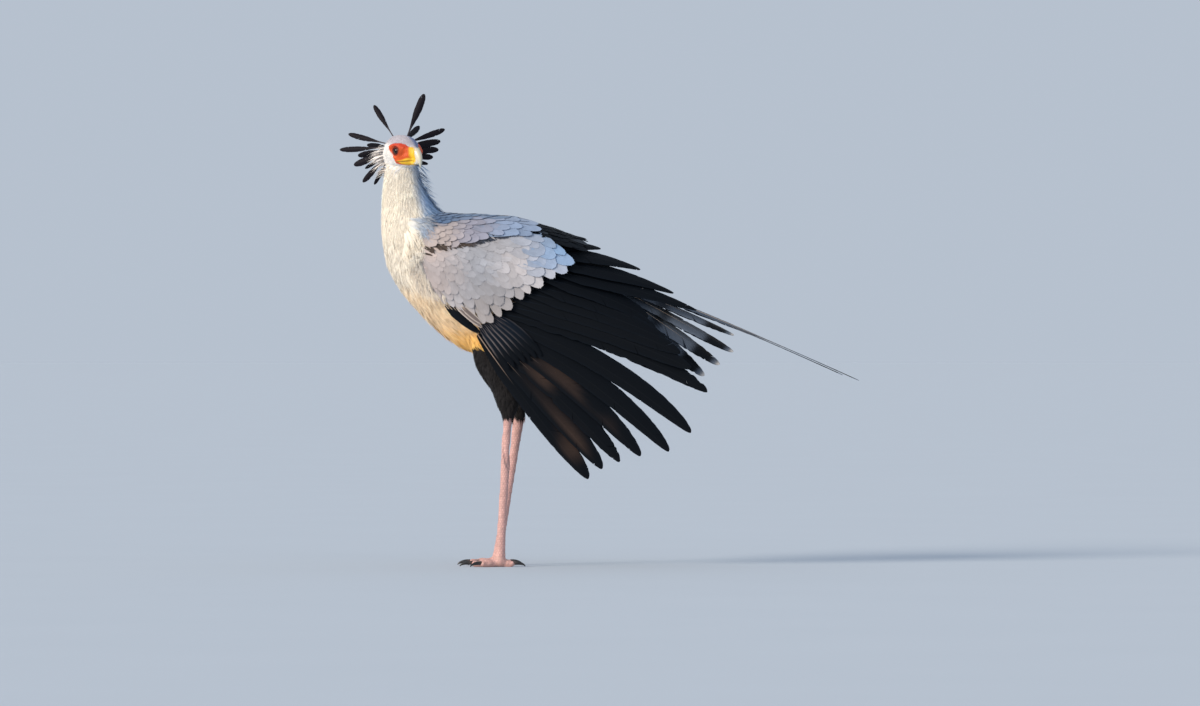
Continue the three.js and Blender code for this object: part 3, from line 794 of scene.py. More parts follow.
class Ground:
    """The skin as a surface that feathers grow from and lie along."""

    def __init__(self, obj, kinds):
        mesh = obj.data
        mesh.calc_loop_triangles()
        self.corners = read(mesh.loop_triangles, "vertices", 3, np.int32)
        loops = read(mesh.loop_triangles, "loops", 3, np.int32)
        self.places = read(mesh.uv_layers["OFBake"].data, "uv", 2)[loops]
        self.points, self.normals, self.kinds = coordinates(mesh), normals_of(mesh), kinds
        self.tree = BVHTree.FromPolygons(self.points.tolist(), self.corners.tolist())
        a, b, c = (self.points[self.corners[:, k]] for k in range(3))
        self.area = np.linalg.norm(np.cross(b - a, c - a), axis=1) / 2

    def nearest(self, points):
        """The skin's nearest points, their normals, and the triangle and shares of its corners at each."""
        hits = [self.tree.find_nearest(point) for point in points.tolist()]
        found = np.array([tuple(hit[0]) for hit in hits])
        index = np.array([hit[2] for hit in hits])
        corners = self.points[self.corners[index]]
        whole = np.linalg.norm(np.cross(corners[:, 1] - corners[:, 0], corners[:, 2] - corners[:, 0]), axis=1)
        shares = []
        for k in range(3):
            b, c = corners[:, (k + 1) % 3] - found, corners[:, (k + 2) % 3] - found
            shares.append(np.linalg.norm(np.cross(b, c), axis=1) / np.maximum(whole, 1e-9))
        shares = np.stack(shares, -1)[..., None]
        return found, unit((self.normals[self.corners[index]] * shares).sum(1)), index, shares

    def patch(self, index, shares):
        return (self.places[index] * shares).sum(1) / shares.sum(1)

    def scatter(self, where, spacing, draw):
        """Roots spread evenly over the skin wherever a value for each of its points is above a half."""
        weight = self.area * (where[self.corners].mean(1) > 0.5)
        count = int(weight.sum() / spacing**2 * 3)
        index = draw.choice(len(weight), count, p=weight / weight.sum())
        share = draw.dirichlet((1, 1, 1), count)[..., None]
        roots = (self.points[self.corners[index]] * share).sum(1)
        _, first = np.unique(np.floor(roots / spacing).astype(int), axis=0, return_index=True)
        return roots[np.sort(first)]

    def walk(self, roots, lengths, lie, lift, cling=1.0, steps=4, flare=0.0, droop=0.0):
        """Lines from the roots that follow the lie of the coat, lifted off the skin at their ends.

        They leave it after the share cling of their length, by flare along their own way, and then droop."""
        here, normal, index, shares = self.nearest(roots)
        spine, normals = [here], [normal]
        stride = (lengths / steps)[:, None]
        for step in range(1, steps + 1):
            if step <= max(cling * steps, 1):
                way = lie(here)
                ahead = unit(way - normal * dot(way, normal))
                free = unit(blend(ahead, way, flare))
                here, normal, _, _ = self.nearest(here + ahead * stride)
            else:
                free = unit(free - [0, 0, droop])
                here = here + free * stride
            spine.append(here)
            normals.append(normal)
        spine, normals = np.stack(spine, 1), np.stack(normals, 1)
        share = np.linspace(0, 1, steps + 1)[None, :, None]
        rise = (share**1.2 - 0.2 * (1 - share) ** 4) * np.broadcast_to(lift, len(roots))[:, None, None]
        return spine + normals * rise, normals, self.patch(index, shares), self.kinds[self.corners[index, 0]]


# The lie of the coat: [x, distance from the middle plane, z, and the way a feather there points]
LIE = np.array([
    (-478, 0, 850, 0, 0, -1), (-483, 0, 780, -0.05, 0, -1), (-480, 0, 700, 0.1, 0, -1),
    (-460, 0, 640, 0.3, 0, -1), (-410, 0, 565, 0.6, 0, -0.8), (-350, 0, 505, 0.8, 0, -0.6),
    (-290, 0, 468, 1, 0, -0.3), (-205, 0, 460, 1, 0, 0.1), (-130, 0, 492, 1, 0, 0.4),
    (-65, 0, 547, 0.8, 0, 0.6), (-395, 0, 860, 0.2, 0, -1), (-385, 0, 820, 0.35, 0, -1),
    (-350, 0, 780, 0.8, 0, -0.6), (-300, 0, 765, 1, 0, -0.15), (-200, 0, 760, 1, 0, -0.1),
    (-100, 0, 730, 1, 0, -0.35), (0, 0, 700, 1, 0, -0.4), (-435, 45, 850, 0.05, 0, -1),
    (-420, 60, 790, 0.12, 0, -1), (-430, 80, 710, 0.12, 0.1, -1),
    (-400, 85, 620, 0.35, 0, -1), (-300, 85, 540, 0.7, 0, -0.5), (-200, 80, 540, 0.9, 0, -0.2),
    (-100, 60, 600, 1, 0, 0.1)], float)


def lie_of(points):
    x, y, z = points.T
    fold = np.stack([x, np.abs(y), z], -1)
    near = 1 / (((fold[:, None] - LIE[:, :3]) ** 2).sum(-1) + 300) ** 2
    way = near @ unit(LIE[:, 3:]) / near.sum(1, keepdims=True)
    way = way * np.stack([np.ones_like(y), np.sign(y), np.ones_like(y)], -1)
    local = to_head(points)
    back = unit(unit(local - [46, 0, 2]) + [-0.5, 0, -0.3]) @ TURN.T
    return unit(washed(way, (back, ease(z, 850, 884) * near_head(points, 90))))


def one_way(way):
    """A lie that points the same way everywhere."""
    return lambda points: np.broadcast_to(way, points.shape)


def down_wing(points):
    angle = covert_angle(points[:, 0], points[:, 2])
    return np.stack([np.cos(angle), 0 * angle, np.sin(angle)], -1)


# Feathers

def comb(strands, rows, split=0.62):
    """A feather's pattern: its points across and along, their strands, and its triangles."""
    across, along = np.meshgrid(np.linspace(-1, 1, strands + 1), np.linspace(0, split, rows + 1))
    k = np.arange(strands)
    last, first = rows * (strands + 1), (rows + 1) * (strands + 1)
    ends = np.stack([last + k, last + k + 1, first + k], -1)
    strand = np.append(np.zeros(across.size, int), k + 1)
    faces = np.concatenate([grid_faces(rows + 1, strands + 1), ends])
    return np.append(across, (k + 0.5) / strands * 2 - 1), np.append(along, np.ones(strands)), strand, faces


def pointed(t):
    return np.sin(np.pi * (0.03 + 0.87 * t)) ** 0.7


def rounded(t):
    return np.minimum(0.45 + 2.2 * t, 1.0)


def grow(heap, pattern, spine, normals, half, outline, patch, tint, draw, ragged, camber=0.25, round_tip=0.0,
         rim=0.0):
    """Adds one feather for each spine. The tint is a base and a tip colour for each feather."""
    across, along, strand, faces = pattern
    count, steps = len(spine), spine.shape[1] - 1
    reach = along * (1 - round_tip * (1 - np.sqrt(1 - (0.96 * across) ** 2)) * along**2)
    short = 1 - draw.random((count, strand.max() + 1)) * ragged
    short[:, 0] = 1
    t = reach * short[:, strand]
    where = np.clip(t * steps, 0, steps - 1e-6)
    index = where.astype(int)
    row = np.arange(count)[:, None]

    def at(values):
        return blend(values[row, index], values[row, index + 1], (where - index)[..., None])

    middle, face, ahead = at(spine), at(normals), unit(at(unit(np.gradient(spine, axis=1))))
    wide = (half[:, None] * outline(along))[..., None]
    edge = across[:, None]
    points = middle + unit(np.cross(ahead, face)) * wide * edge - face * wide * edge**2 * camber
    light = 1 + rim * np.maximum(ease(np.abs(across), 0.6, 1.0), ease(along, 0.84, 1.0))
    colour = blend(tint[0][:, None], tint[1][:, None], along[:, None]) * light[:, None]
    spot = np.stack([across * 0.45, along * 0.9 - 0.45], -1) * PATCH
    faces = faces + (np.arange(count) * len(across))[:, None, None]
    vanes = np.stack([np.broadcast_to(across * 0.5 + 0.5, t.shape), t + draw.random((count, 1)) * 40], -1)
    heap.add(points.reshape(-1, 3), faces.reshape(-1, 3), np.clip(colour.reshape(-1, 3), 0, 1),
             OFBake=(patch[:, None] + spot).reshape(-1, 2), Vane=vanes.reshape(-1, 2))


def lively(tint, draw, amount, count=None):
    """A tint for each feather, some lighter and some darker."""
    tint = tint if count is None else np.broadcast_to(tint, (count, 3))
    return tint * (1 + amount * draw.normal(size=(len(tint), 1)))


def coat(name, where, spacing, length, half, lift, strands, rows, seed, slot="cream_feathers", material=SOFT,
         lie=lie_of, cling=1.0, ragged=0.3, liveliness=0.05, streak=(9, 9, 45), clump=0.12, split=0.62):
    """One piece of coat over the skin. Length, half width and lift are numbers or functions of the roots."""
    draw = np.random.default_rng(seed)
    roots = ground.scatter(where.astype(float), spacing, draw)
    length, half, lift = (v(roots) if callable(v) else np.full(len(roots), v) for v in (length, half, lift))
    lock = wave(roots, streak, seed + 1)
    length = length * (1 + 0.18 * draw.normal(size=len(roots)) + 0.12 * lock).clip(0.5, 1.6)
    sway = np.stack([wave(roots, (14, 14, 40), seed + 2 + k) for k in range(3)], -1) * clump
    jitter = draw.normal(size=(len(roots), 3)) * 0.06 + sway
    spine, normals, patch, kinds = ground.walk(roots, length, lambda p: unit(lie(p) + jitter),
                                               lift * (1 + 0.3 * lock), cling)
    # Lower-lying locks are painted darker: painted shade in the gaps between clumps
    tint = lively(skin_tint(roots, kinds), draw, liveliness) * (1 + 0.09 * lock[:, None])
    tints = tint * 0.86, tint * 1.05
    heap = Heap()
    grow(heap, comb(strands, rows, split), spine, normals, half, pointed, patch, tints, draw, ragged)
    heap.piece(name, material, slot)


def make_coat():
    x, y, z = ground.points.T
    ahead, side, up, local = head_places(ground.points)
    neck, trunk = is_kind(ground.kinds, "neck"), is_kind(ground.kinds, "trunk")
    skull = is_kind(ground.kinds, "head", "bill", "eye") & near_head(ground.points, HEAD_REACH)
    covered = skull & (inside(FACE_EDGE, ahead, up, 0.8) * (side > 3) + (ahead > 43) < 0.5)
    face = np.linalg.norm(local - [20, 0, 0], axis=1) < 46

    def growing(least, more, low, high):
        """A size that grows downwards on the bird."""
        return lambda roots: least + more * ease(-roots[:, 2], low, high)

    def from_face(least, more):
        """A size that grows backwards from the face."""
        return lambda roots: least + more * ease(-to_head(roots)[:, 0], -30, 34)

    coat("coat_face", covered & face, 2.5, from_face(5, 7), from_face(1.3, 1.0), from_face(0.8, 1.4), 3, 1,
         11, "face_feathers", streak=(12, 12, 12), clump=0.1)
    coat("coat_head", covered & ~face | neck & (z > 822), 3.3,
         lambda r: from_face(12, 9)(r) + growing(0, 10, -880, -840)(r), 2.4,
         growing(2.4, 1.6, -870, -830), 4, 2, 12, "face_feathers", streak=(8, 8, 24), clump=0.18,
         cling=0.75, ragged=0.4, split=0.45)
    coat("coat_neck", neck & (z > 700), 4.0, 38, 3.2, 4.2, 5, 2, 13, ragged=0.5, clump=0.2,
         streak=(6, 6, 55), split=0.4)
    coat("coat_breast", (neck | trunk) & (x < -230) & (z < 775) & (z > 420) & ~(neck & (z > 700)), 6.8,
         growing(50, -24, -505, -470), 6.5, 8.0, 6, 2, 14, ragged=0.45, clump=0.22, streak=(10, 10, 60),
         split=0.45)
    coat("coat_belly", trunk & (x > -240) & (z < 640) & (z > 470), 8.2, growing(56, -28, -505, -470), 8, 8, 5,
         3, 15, ragged=0.5, clump=0.2)
    coat("coat_back", trunk & (x > -240) & (z > 630), 8.5, 50, 9, 6, 6, 3, 16, "black_feathers", ragged=0.25)
    coat("coat_wing", is_kind(ground.kinds, "wing"), 7.5, 28, 6, 2.0, 6, 2, 20, "grey_feathers", split=0.75,
         ragged=0.2, lie=down_wing)
    for name, sign in SIDES.items():
        leg = is_kind(ground.kinds, "thigh") & (y * sign > 0) & (z > 342)
        coat(f"coat_thigh_{name}", leg, 5.2, 32, 4.4, 4.5, 4, 2, 17 + sign, "black_feathers", SOFT_BLACK,
             one_way([0.03, 0, -1]), ragged=0.4, liveliness=0.15)


def plumes(name, roots, length, half, seed, strands, lift, lie, tint, droop, slot="face_feathers",
           material=SOFT):
    """A piece of longer loose feathers with stated roots and lengths."""
    draw = np.random.default_rng(seed)
    jitter = draw.normal(size=(len(roots), 3)) * 0.13
    spine, normals, patch, _ = ground.walk(roots, length, lambda p: unit(lie(p) + jitter), lift, cling=0.13,
                                           steps=8, flare=1.0, droop=droop)
    half = half * (0.7 + 0.5 * draw.random(len(roots)))
    tint = lively(tint, draw, 0.1, len(roots))
    tints = tint * 0.86, tint * 1.04
    heap = Heap()
    grow(heap, comb(strands, 5, 0.55), spine, normals, half, pointed, patch, tints, draw, 0.35)
    heap.piece(name, material, slot)


RUMP_WAY = unit(np.array([0.88, 0, -0.47]))
NAPE_WAY = unit(np.array([0.79, -0.1, -0.61]))
RUFF_PINK = shade(250, 214, 190)


def make_rump():
    """Loose black feathers over the root of the tail."""
    draw = np.random.default_rng(29)
    count = 150
    x = -110 + 138 * draw.random(count)
    roots = np.stack([x, 17 * draw.normal(size=count), np.interp(x, [-118, -36, 50], [741, 698, 651])], -1)
    plumes("rump_feathers", roots, 72 + 26 * draw.random(count), 9.0, 30, 16, 3.0, one_way(RUMP_WAY),
           FLIGHT_BLACK * 1.3, 0.02, "flight_feathers", STIFF)


def make_ruff():
    """Long loose feathers round the back of the head, and the stray ones down the nape."""
    draw = np.random.default_rng(31)
    count = 210
    ahead = -22 - 24 * draw.random(count)
    side = np.sign(draw.random(count) - 0.5) * (6 + 26 * draw.random(count))
    roots = from_head(np.stack([ahead, side, -52 + 64 * draw.random(count)], -1))

    def swept(points):
        side = np.sign(to_head(points)[:, 1:2])
        return unit(np.hstack([0 * side - 1, 0.85 * side, 0 * side - 0.1])) @ TURN.T

    tint = blend(WHITE, RUFF_PINK, 0.12)
    plumes("ruff", roots, 26 + 26 * draw.random(count), 1.5, 32, 4, 2.0, swept, tint, 0.12)
    count = 110
    z = 884 - 105 * draw.random(count)
    roots = np.stack([np.interp(z, [780, 870], [-352, -388]), 14 * draw.normal(size=count) - 8, z], -1)
    # The stray nape plumes carry the nape's painted blue shade, darker still
    plumes("nape_plumes", roots, 36 + 22 * draw.random(count), 1.6, 33, 3, 2.0, one_way(NAPE_WAY),
           NAPE_SHADE_BLUE * 0.7, 0.03, "cream_feathers")


# Coverts and scapulars: broad feathers laid like tiles on the form

def spaced(x, z, room, first=0):
    """Which places to keep so that no two are closer than their room. The first ones are always kept."""
    kept = list(range(first))
    for k in range(first, len(x)):
        if (np.hypot(x[kept] - x[k], z[kept] - z[k]) > room[k]).all():
            kept.append(k)
    return np.array(kept)


def laid(sign, x, s, way, length, depth, steps):
    """Lines on the wing's form that come along their way and end at x and s."""
    back = (1 - steps) * length[:, None]
    return on_wing(sign, x[:, None] - back * np.cos(way), s[:, None] + back * np.sin(way), depth)


def shingles(heap, sign, x, s, angle, length, half, sunk, proud, tint, draw, loose):
    """Broad feathers on the wing's form, each with its tip at x and s. The loose ones have frayed ends."""
    steps = np.linspace(0, 1, 6)
    way = angle[:, None] + 0.2 * (steps - 1) * draw.normal(size=(len(x), 1))
    sunk, proud = (np.broadcast_to(value, x.shape)[:, None] for value in (sunk, proud))
    points, normals = laid(sign, x, s, way, length, blend(sunk, proud, steps**1.3), steps)
    patch = ground.patch(*ground.nearest(points[:, 0])[2:])
    for part, pattern, ragged in ((~loose, comb(20, 4, 0.955), 0.05), (loose, comb(16, 4, 0.88), 0.13)):
        if part.any():
            spine, face, wide, place, *colours = picked(part, points, normals, half, patch, *tint)
            grow(heap, pattern, spine, face, wide, rounded, place, colours, draw, ragged, 0.06, 0.6, 0.06)


# Feathers of the coverts' rear edge, from the top down: [x, z, width]
EDGE_COVERTS = [(-118, 712, 24), (-92, 698, 28), (-70, 684, 28), (-51, 664, 34), (-68, 642, 34),
                (-96, 630, 34), (-121, 611, 36), (-148, 597, 26), (-165, 584, 30), (-188, 562, 32),
                (-212, 546, 22), (-229, 534, 26), (-250, 530, 22), (-270, 545, 18), (-292, 558, 17),
                (-314, 567, 17), (-334, 573, 16), (-352, 580, 15), (-368, 590, 14)]
COVERT_PALE = shade(214, 206, 206)
SCAPULAR_LILAC = shade(148, 147, 162)
# The wing ridge's grey, blued by painted sky light
ROOF_SKY_BLUE = shade(98, 126, 160)
# The shadow's strands run from warm in front to cold behind
SHADOW_WARM, SHADOW_COLD = shade(84, 71, 64), shade(60, 66, 80)
STRANDS = 130


def make_coverts(name, sign, seed):
    draw = np.random.default_rng(seed)
    first_x, first_z, first_width = np.array(EDGE_COVERTS, float).T
    first, tries = len(first_x), 6000
    x = np.append(first_x, -395 + 350 * draw.random(tries))
    z = np.append(first_z, 525 + 185 * draw.random(tries))
    far, front = gap_to(REAR_EDGE, x, z), ease(-x, 250, 350)
    room = blend(blend(24.0, 17.0, ease(far, 12, 95)), 12.5, front) * (0.8 + 0.5 * draw.random(len(x)))
    order = np.append(np.arange(first), first + np.argsort(far[first:]))
    x, z, far, room, front = picked(order, x, z, far, room, front)
    fits = inside(COVERT_EDGE, x, z, 0.1) > 0.5
    fits[:first] = True
    x, z, far, room, front = picked(fits, x, z, far, room, front)
    x, z, far, room, front = picked(spaced(x, z, room, first), x, z, far, room, front)
    half = room * (0.7 + 0.25 * draw.random(len(x)))
    half[:first] = first_width / 2
    length = blend(68.0, 48.0, ease(far, 0, 90)) * blend(1.0, 0.8, front) * (1 - 0.4 * ease(-x, 355, 375))
    rear = 1 - ease(far, 0, 26)
    # Rear coverts that face up take painted blue sky light over their own blue-grey
    sky_lit = ease(x, -170, -60) * ease(z, 610, 680)
    tint = washed(COVERT_GREY, (COVERT_PINK, front), (COVERT_SKY_BLUE, sky_lit),
                  (COVERT_PALE, rear * (1 - sky_lit) * 0.25))
    places = np.stack([x, z, z], -1)
    warmth = wave(places, 40, seed + 5)[:, None] * np.array([1, 0, -1])
    tint = lively(tint, draw, 0.05) * (1 + 0.14 * wave(places, 34, seed)[:, None]) * (1 + 0.05 * warmth)
    tint = tint * (1 - 0.1 * ease(-z, -620, -570))[:, None]
    angle = covert_angle(x, z) + 0.16 * draw.normal(size=len(x))
    buried = ease(-x, 350, 375)
    heap = Heap()
    shingles(heap, sign, x, down_from_ridge(x, z), angle, length, half, 1.0 + 3.2 * rear + 4 * buried,
             -0.5 + 1.5 * rear + draw.random(len(x)) * 0.9 + 2 * buried, (tint * 0.9, tint * 1.03), draw,
             draw.random(len(x)) < 0.95 * ease(far - 0.3 * x, 110, 160))
    heap.piece(f"coverts_{name}", SLEEK, "grey_feathers")


SHOULDER_FRONT = [560, 575, 610, 644, 672, 690, 715, 775], [-330, -360, -384, -393, -388, -376, -358, -352]


def make_shoulder(name, sign, seed):
    """Loose feathers of neck and breast that run over the front of the wing."""
    draw = np.random.default_rng(seed)
    z = 560 + 215 * draw.random(2600)
    front = np.interp(z, *SHOULDER_FRONT)
    x = front + 38 * draw.random(len(z)) - 26
    x, z = picked(spaced(x, z, np.full(len(x), 6.2), 1), x, z)
    s = down_from_ridge(x, z)
    tint = skin_tint(on_wing(sign, x, s, 8)[0], np.full(len(x), KINDS.index("neck")))
    tint = washed(tint, (CREAM, 0.6 * (z < 690)))
    length = 58 + 16 * draw.random(len(x))
    slope = np.interp(z, [560, 640, 700, 740, 775], [-62, -72, -64, -45, -14])
    angle = np.radians(slope) + 0.1 * draw.normal(size=len(x))
    steps = np.linspace(0, 1, 7)
    points, normals = laid(sign, x, s, angle[:, None], length, -2.6, steps)
    base, face, index, shares = ground.nearest(points.reshape(-1, 3))
    share = np.tile(ease(steps, 0, 0.8), len(x))[:, None]
    points = blend(base, points.reshape(-1, 3), share).reshape(points.shape)
    normals = unit(blend(face, normals.reshape(-1, 3), share)).reshape(points.shape)
    index, shares = index[::len(steps)], shares[::len(steps)]
    root_tint = skin_tint(points[:, 0] - [6, 0, 0], ground.kinds[ground.corners[index, 0]])
    heap = Heap()
    grow(heap, comb(6, 3, 0.5), points, normals, np.full(len(x), 5.4), pointed, ground.patch(index, shares),
         (root_tint, tint * 1.05), draw, 0.4)
    heap.piece(f"shoulder_{name}", SOFT, "cream_feathers")


def make_scapulars(name, sign, seed):
    draw = np.random.default_rng(seed)
    tries = 2500
    x = -352 + 262 * draw.random(tries)
    s = 4 + 142 * draw.random(tries)
    z = on_wing(sign, x, s, 0)[0][:, 2]
    low = np.interp(x, [-372, -352, -297, -251, -196, -135], [685, 702, 705, 712, 725, 728])
    fits = (z > low + 4 * draw.normal(size=tries)) & (x < -160 + 0.45 * s + 7 * draw.normal(size=tries))
    x, s, z = picked(fits, x, s, z)
    x, s, z = picked(np.argsort(-x + 0.3 * s), x, s, z)
    room = blend(14.0, 26.0, ease(x, -340, -200)) * (0.8 + 0.45 * draw.random(len(x)))
    x, s, z, room = picked(spaced(x, s, room), x, s, z, room)
    # Scapulars further back take the coverts' painted sky light, and those above the mantle line the mantle's
    # painted blue shade
    top = ease(z - np.interp(x, *MANTLE_LINE), -7, 5)
    skylit_roof = washed(MANTLE_SHADE_BLUE, (ROOF_SKY_BLUE, ease(x, -360, -220)))
    tint = washed(COVERT_PINK * 0.92, (SCAPULAR_LILAC, ease(x, -330, -260)),
                  (COVERT_SKY_BLUE, ease(x, -250, -170) * 0.6), (skylit_roof, top * 0.95))
    tint = lively(tint, draw, 0.07)
    length = blend(38.0, 84.0, ease(x, -330, -200))
    angle = np.radians(blend(-14.0, -5.0, top)) - 0.25 * (1 - ease(x, -350, -290))
    angle = angle + 0.09 * draw.normal(size=len(x))
    hem_line = np.interp(x, [-372, -352, -297, -251, -196, -135], [688, 706, 709, 715, 727, 728])
    hem = 1 - ease(z - hem_line, 4, 22)
    heap = Heap()
    shingles(heap, sign, x, s, angle, length, room * (0.6 + 0.25 * draw.random(len(x))), 2.0,
             -2.0 - 2.4 * hem + draw.random(len(x)) ** 2, (tint * 0.88, tint * 1.03), draw,
             draw.random(len(x)) < 0.95 * np.maximum(top, ease(-x, 250, 320)))

    # Dark loose strands under the scapulars, painted as the shadow there and the dark down in it
    x = -362 + 178 * (np.arange(STRANDS) + draw.random(STRANDS)) / STRANDS
    x = x[wave(np.stack([x, x, x], -1), 7, seed) > -0.75]
    z = np.interp(x, *SHADOW_LINE) - blend(12.0, 6.0, ease(x, -270, -220)) * draw.random(len(x))
    tint = lively(washed(SHADOW_WARM, (SHADOW_COLD, ease(x, -290, -240))), draw, 0.3)
    angle = np.radians(-40.0) + 0.25 * draw.normal(size=len(x))
    shingles(heap, sign, x, down_from_ridge(x, z), angle, np.full(len(x), 24.0),
             1.2 + 1.6 * draw.random(len(x)), 0.0, -0.8 - 0.8 * draw.random(len(x)), (tint * 0.4, tint), draw,
             np.full(len(x), True))
    heap.piece(f"scapulars_{name}", SLEEK, "grey_feathers")


def make_back(name, sign, seed):
    """Black feathers that run from the back over the roots of the long ones."""
    draw = np.random.default_rng(seed)
    x = -160 + 140 * draw.random(1500)
    s = 2 + 88 * draw.random(len(x))
    low = np.interp(x, [-150, -120, -80, -50, -20], [742, 722, 703, 692, 690])
    x, s = picked(on_wing(sign, x, s, 0)[0][:, 2] > low, x, s)
    x, s = picked(np.argsort(-x), x, s)
    room = 13 + 6 * draw.random(len(x))
    x, s, room = picked(spaced(x, s, room), x, s, room)
    tint = lively(FLIGHT_BLACK, draw, 0.2, len(x))
    worn = washed(tint, (TAIL_GREY, np.where(draw.random(len(x)) < 0.15, 0.35, 0.02)))
    angle = np.radians(-14.0) + 0.12 * draw.normal(size=len(x))
    heap = Heap()
    shingles(heap, sign, x, s, angle, 62 + 24 * draw.random(len(x)), room * 0.6, 3.5,
             -0.8 + 1.5 * draw.random(len(x)), (tint, worn), draw, np.full(len(x), False))
    heap.piece(f"back_feathers_{name}", STIFF, "flight_feathers")


# Stiff feathers: a shaft, and on each side a web of slanting barbs that parts here and there

PALE_SHAFT = shade(196, 176, 158)
SHAFT_RINGS, SHAFT_SIDES = 18, 6
WEB_THICKNESS = 0.9


def roundness(u, start, reach, power):
    return np.sqrt(np.maximum(0, 1 - np.maximum(0, (u - start) / reach) ** power))


def flight_outline(u):
    return np.minimum(0.25 + 3 * u, 1) * roundness(u, 0.5, 0.5, 2.3)


def back_outline(u):
    return flight_outline(u) * (1 - 0.5 * ease(u, 0.4, 1.0))


def crest_outline(u):
    return (0.2 + 0.8 * ease(u, 0.16, 0.7)) * roundness(u, 0.76, 0.24, 2.4)


def streamer_outline(u):
    return (1 - 0.8 * ease(u, 0.36, 0.72)) * np.minimum(1, 0.4 + 2 * u) * roundness(u, 0.985, 0.016, 2)


def stiff_feather(heap, strip, root, tip, bend, out, width, colour, draw, outline=flight_outline, lean=0.5,
                  stations=46, reach=3, shaft=1.5, gaps=0.5, camber=0.1, ragged=0.03, pale=0.3,
                  shaft_colour=PALE_SHAFT):
    """Lean is the share of the width on the side that faces down, gaps how far parted barbs stand apart."""
    length = np.linalg.norm(tip - root)
    fine = np.linspace(0, 1.04, 105)
    line = bow(root, tip, bend, fine)
    ahead = unit(np.gradient(line, axis=0))
    across = unit(np.cross(ahead, out))
    face = np.cross(across, ahead)
    left, right = strip

    def at(t):
        return [np.stack([np.interp(t, fine, v) for v in part.T], -1) for part in (line, across, face)]

    def add(points, faces, tint, spread, place, fibre):
        spot = np.stack([left + (right - left) * (0.06 + 0.88 * spread), 0.01 + 0.98 * place], -1)
        vanes = np.stack([spread, fibre * length * 0.01], -1)
        heap.add(points, faces, tint, OFBake=spot, Vane=vanes)

    for side, share in ((1, lean), (-1, 1 - lean)):
        edge = 0.015 + 0.985 * (1 - (1 - np.linspace(0, 1, stations)) ** 1.4)
        wide = width * share * outline(edge) * (1 - ragged * np.abs(draw.normal(size=stations)))
        barb = np.maximum(edge - 1.1 * wide / length, 0.004 + 0.01 * edge)
        starts = [0]
        while starts[-1] < stations - 1:
            starts.append(min(starts[-1] + draw.integers(6, 30), stations - 1))
        for low, high in zip(starts[:-1], starts[1:]):
            rows = np.arange(low, high + 1)
            share_out = np.linspace(0, 1, reach + 1)
            pull = np.zeros(len(rows))
            gap = gaps * draw.random() ** 3 * 5 / length
            pull[0], pull[-1] = gap, -gap * (high < stations - 1)
            place = barb[rows][:, None] + (edge[rows] - barb[rows] + pull)[:, None] * share_out
            middle, sideways, up = at(place)
            w = (wide[rows][:, None] * share_out)[..., None]
            sheet = middle + sideways * w * side - up * camber * w**2 / max(width * share, 1)
            thick = up * (WEB_THICKNESS / 2 * (1 - share_out**2))[:, None]
            faces = grid_faces(len(rows), reach + 1)[:, ::side]
            faces = np.concatenate([faces, faces[:, ::-1] + place.size])
            off = side * np.broadcast_to(share_out, place.shape)
            fibre = np.broadcast_to(barb[rows][:, None], place.shape)
            twice = (np.tile(v.ravel(), 2) for v in (0.5 + 0.5 * off, np.clip(place, 0, 1), fibre))
            add(np.concatenate([sheet + thick, sheet - thick]).reshape(-1, 3), faces,
                np.tile(colour(place, off).reshape(-1, 3), (2, 1)), *twice)
    t = np.linspace(0, 0.985, SHAFT_RINGS)
    middle, sideways, up = at(t)
    ring = around(sideways, up * 0.8, circle(SHAFT_SIDES)) * (shaft * (1 - t) + 0.25)[:, None, None]
    points = np.concatenate([(middle[:, None] + ring).reshape(-1, 3), line[:1], middle[-1:] + ahead[-1:] * 2])
    k = np.arange(SHAFT_SIDES)
    after, last = (k + 1) % SHAFT_SIDES, (SHAFT_RINGS - 1) * SHAFT_SIDES
    caps = [np.stack([k, after, np.full(SHAFT_SIDES, len(points) - 2)], -1),
            np.stack([last + after, last + k, np.full(SHAFT_SIDES, len(points) - 1)], -1)]
    faces = np.concatenate([grid_faces(SHAFT_RINGS, SHAFT_SIDES, True)[:, ::-1], *caps])
    tint = washed(shaft_colour, (colour(t, np.zeros(SHAFT_RINGS)) * 0.8, ease(t, pale * 0.4, pale)))
    tint = np.concatenate([np.repeat(tint, SHAFT_SIDES, 0), tint[:1], tint[-1:]])
    along = np.append(np.repeat(t, SHAFT_SIDES), [0, 1])
    add(points, faces, tint, np.full(len(along), 0.5), along, along)


def strips(count):
    """Each feather's own strip across the OFBake map."""
    return [(k / count, (k + 1) / count) for k in range(count)]


# Quills from the lowest up: [root x, root z, depth, tip x, tip z, tip y, bow up, lift]
HAND_QUILLS = [(-266, 512, 18, -22, 193, -86, -10, 0.08), (-262, 518, 17.4, 8, 215, -88, 2, 0.08),
               (-258, 525, 16.8, 46, 230, -90, 16, 0.09), (-254, 532, 16.2, 92, 243, -92, 30, 0.1),
               (-248, 540, 15.6, 154, 253, -94, 46, 0.11), (-240, 549, 15, 202, 294, -96, 54, 0.12),
               (-230, 558, 14.4, 238, 383, -98, 44, 0.14)]
ARM_QUILLS = [(-210, 574, 12.5, 203, 434, -104, 26, 0.16), (-190, 588, 13, 179, 468, -102, 24, 0.24),
              (-168, 602, 13.5, 148, 496, -97, 22, 0.36), (-146, 616, 14, 124, 520, -89, 20, 0.46),
              (-124, 632, 14, 108, 546, -79, 20, 0.56)]
BACK_QUILLS = [(-122, 654, 14, 215, 562, -50, 18, 0.7), (-126, 678, 14, 165, 600, -42, 17, 0.8),
               (-132, 700, 17, 92, 652, -34, 16, 0.9), (-136, 719, 22, 5, 698, -29, 10, 1),
               (-142, 738, 22, -27, 719, -22, 6, 1.05)]
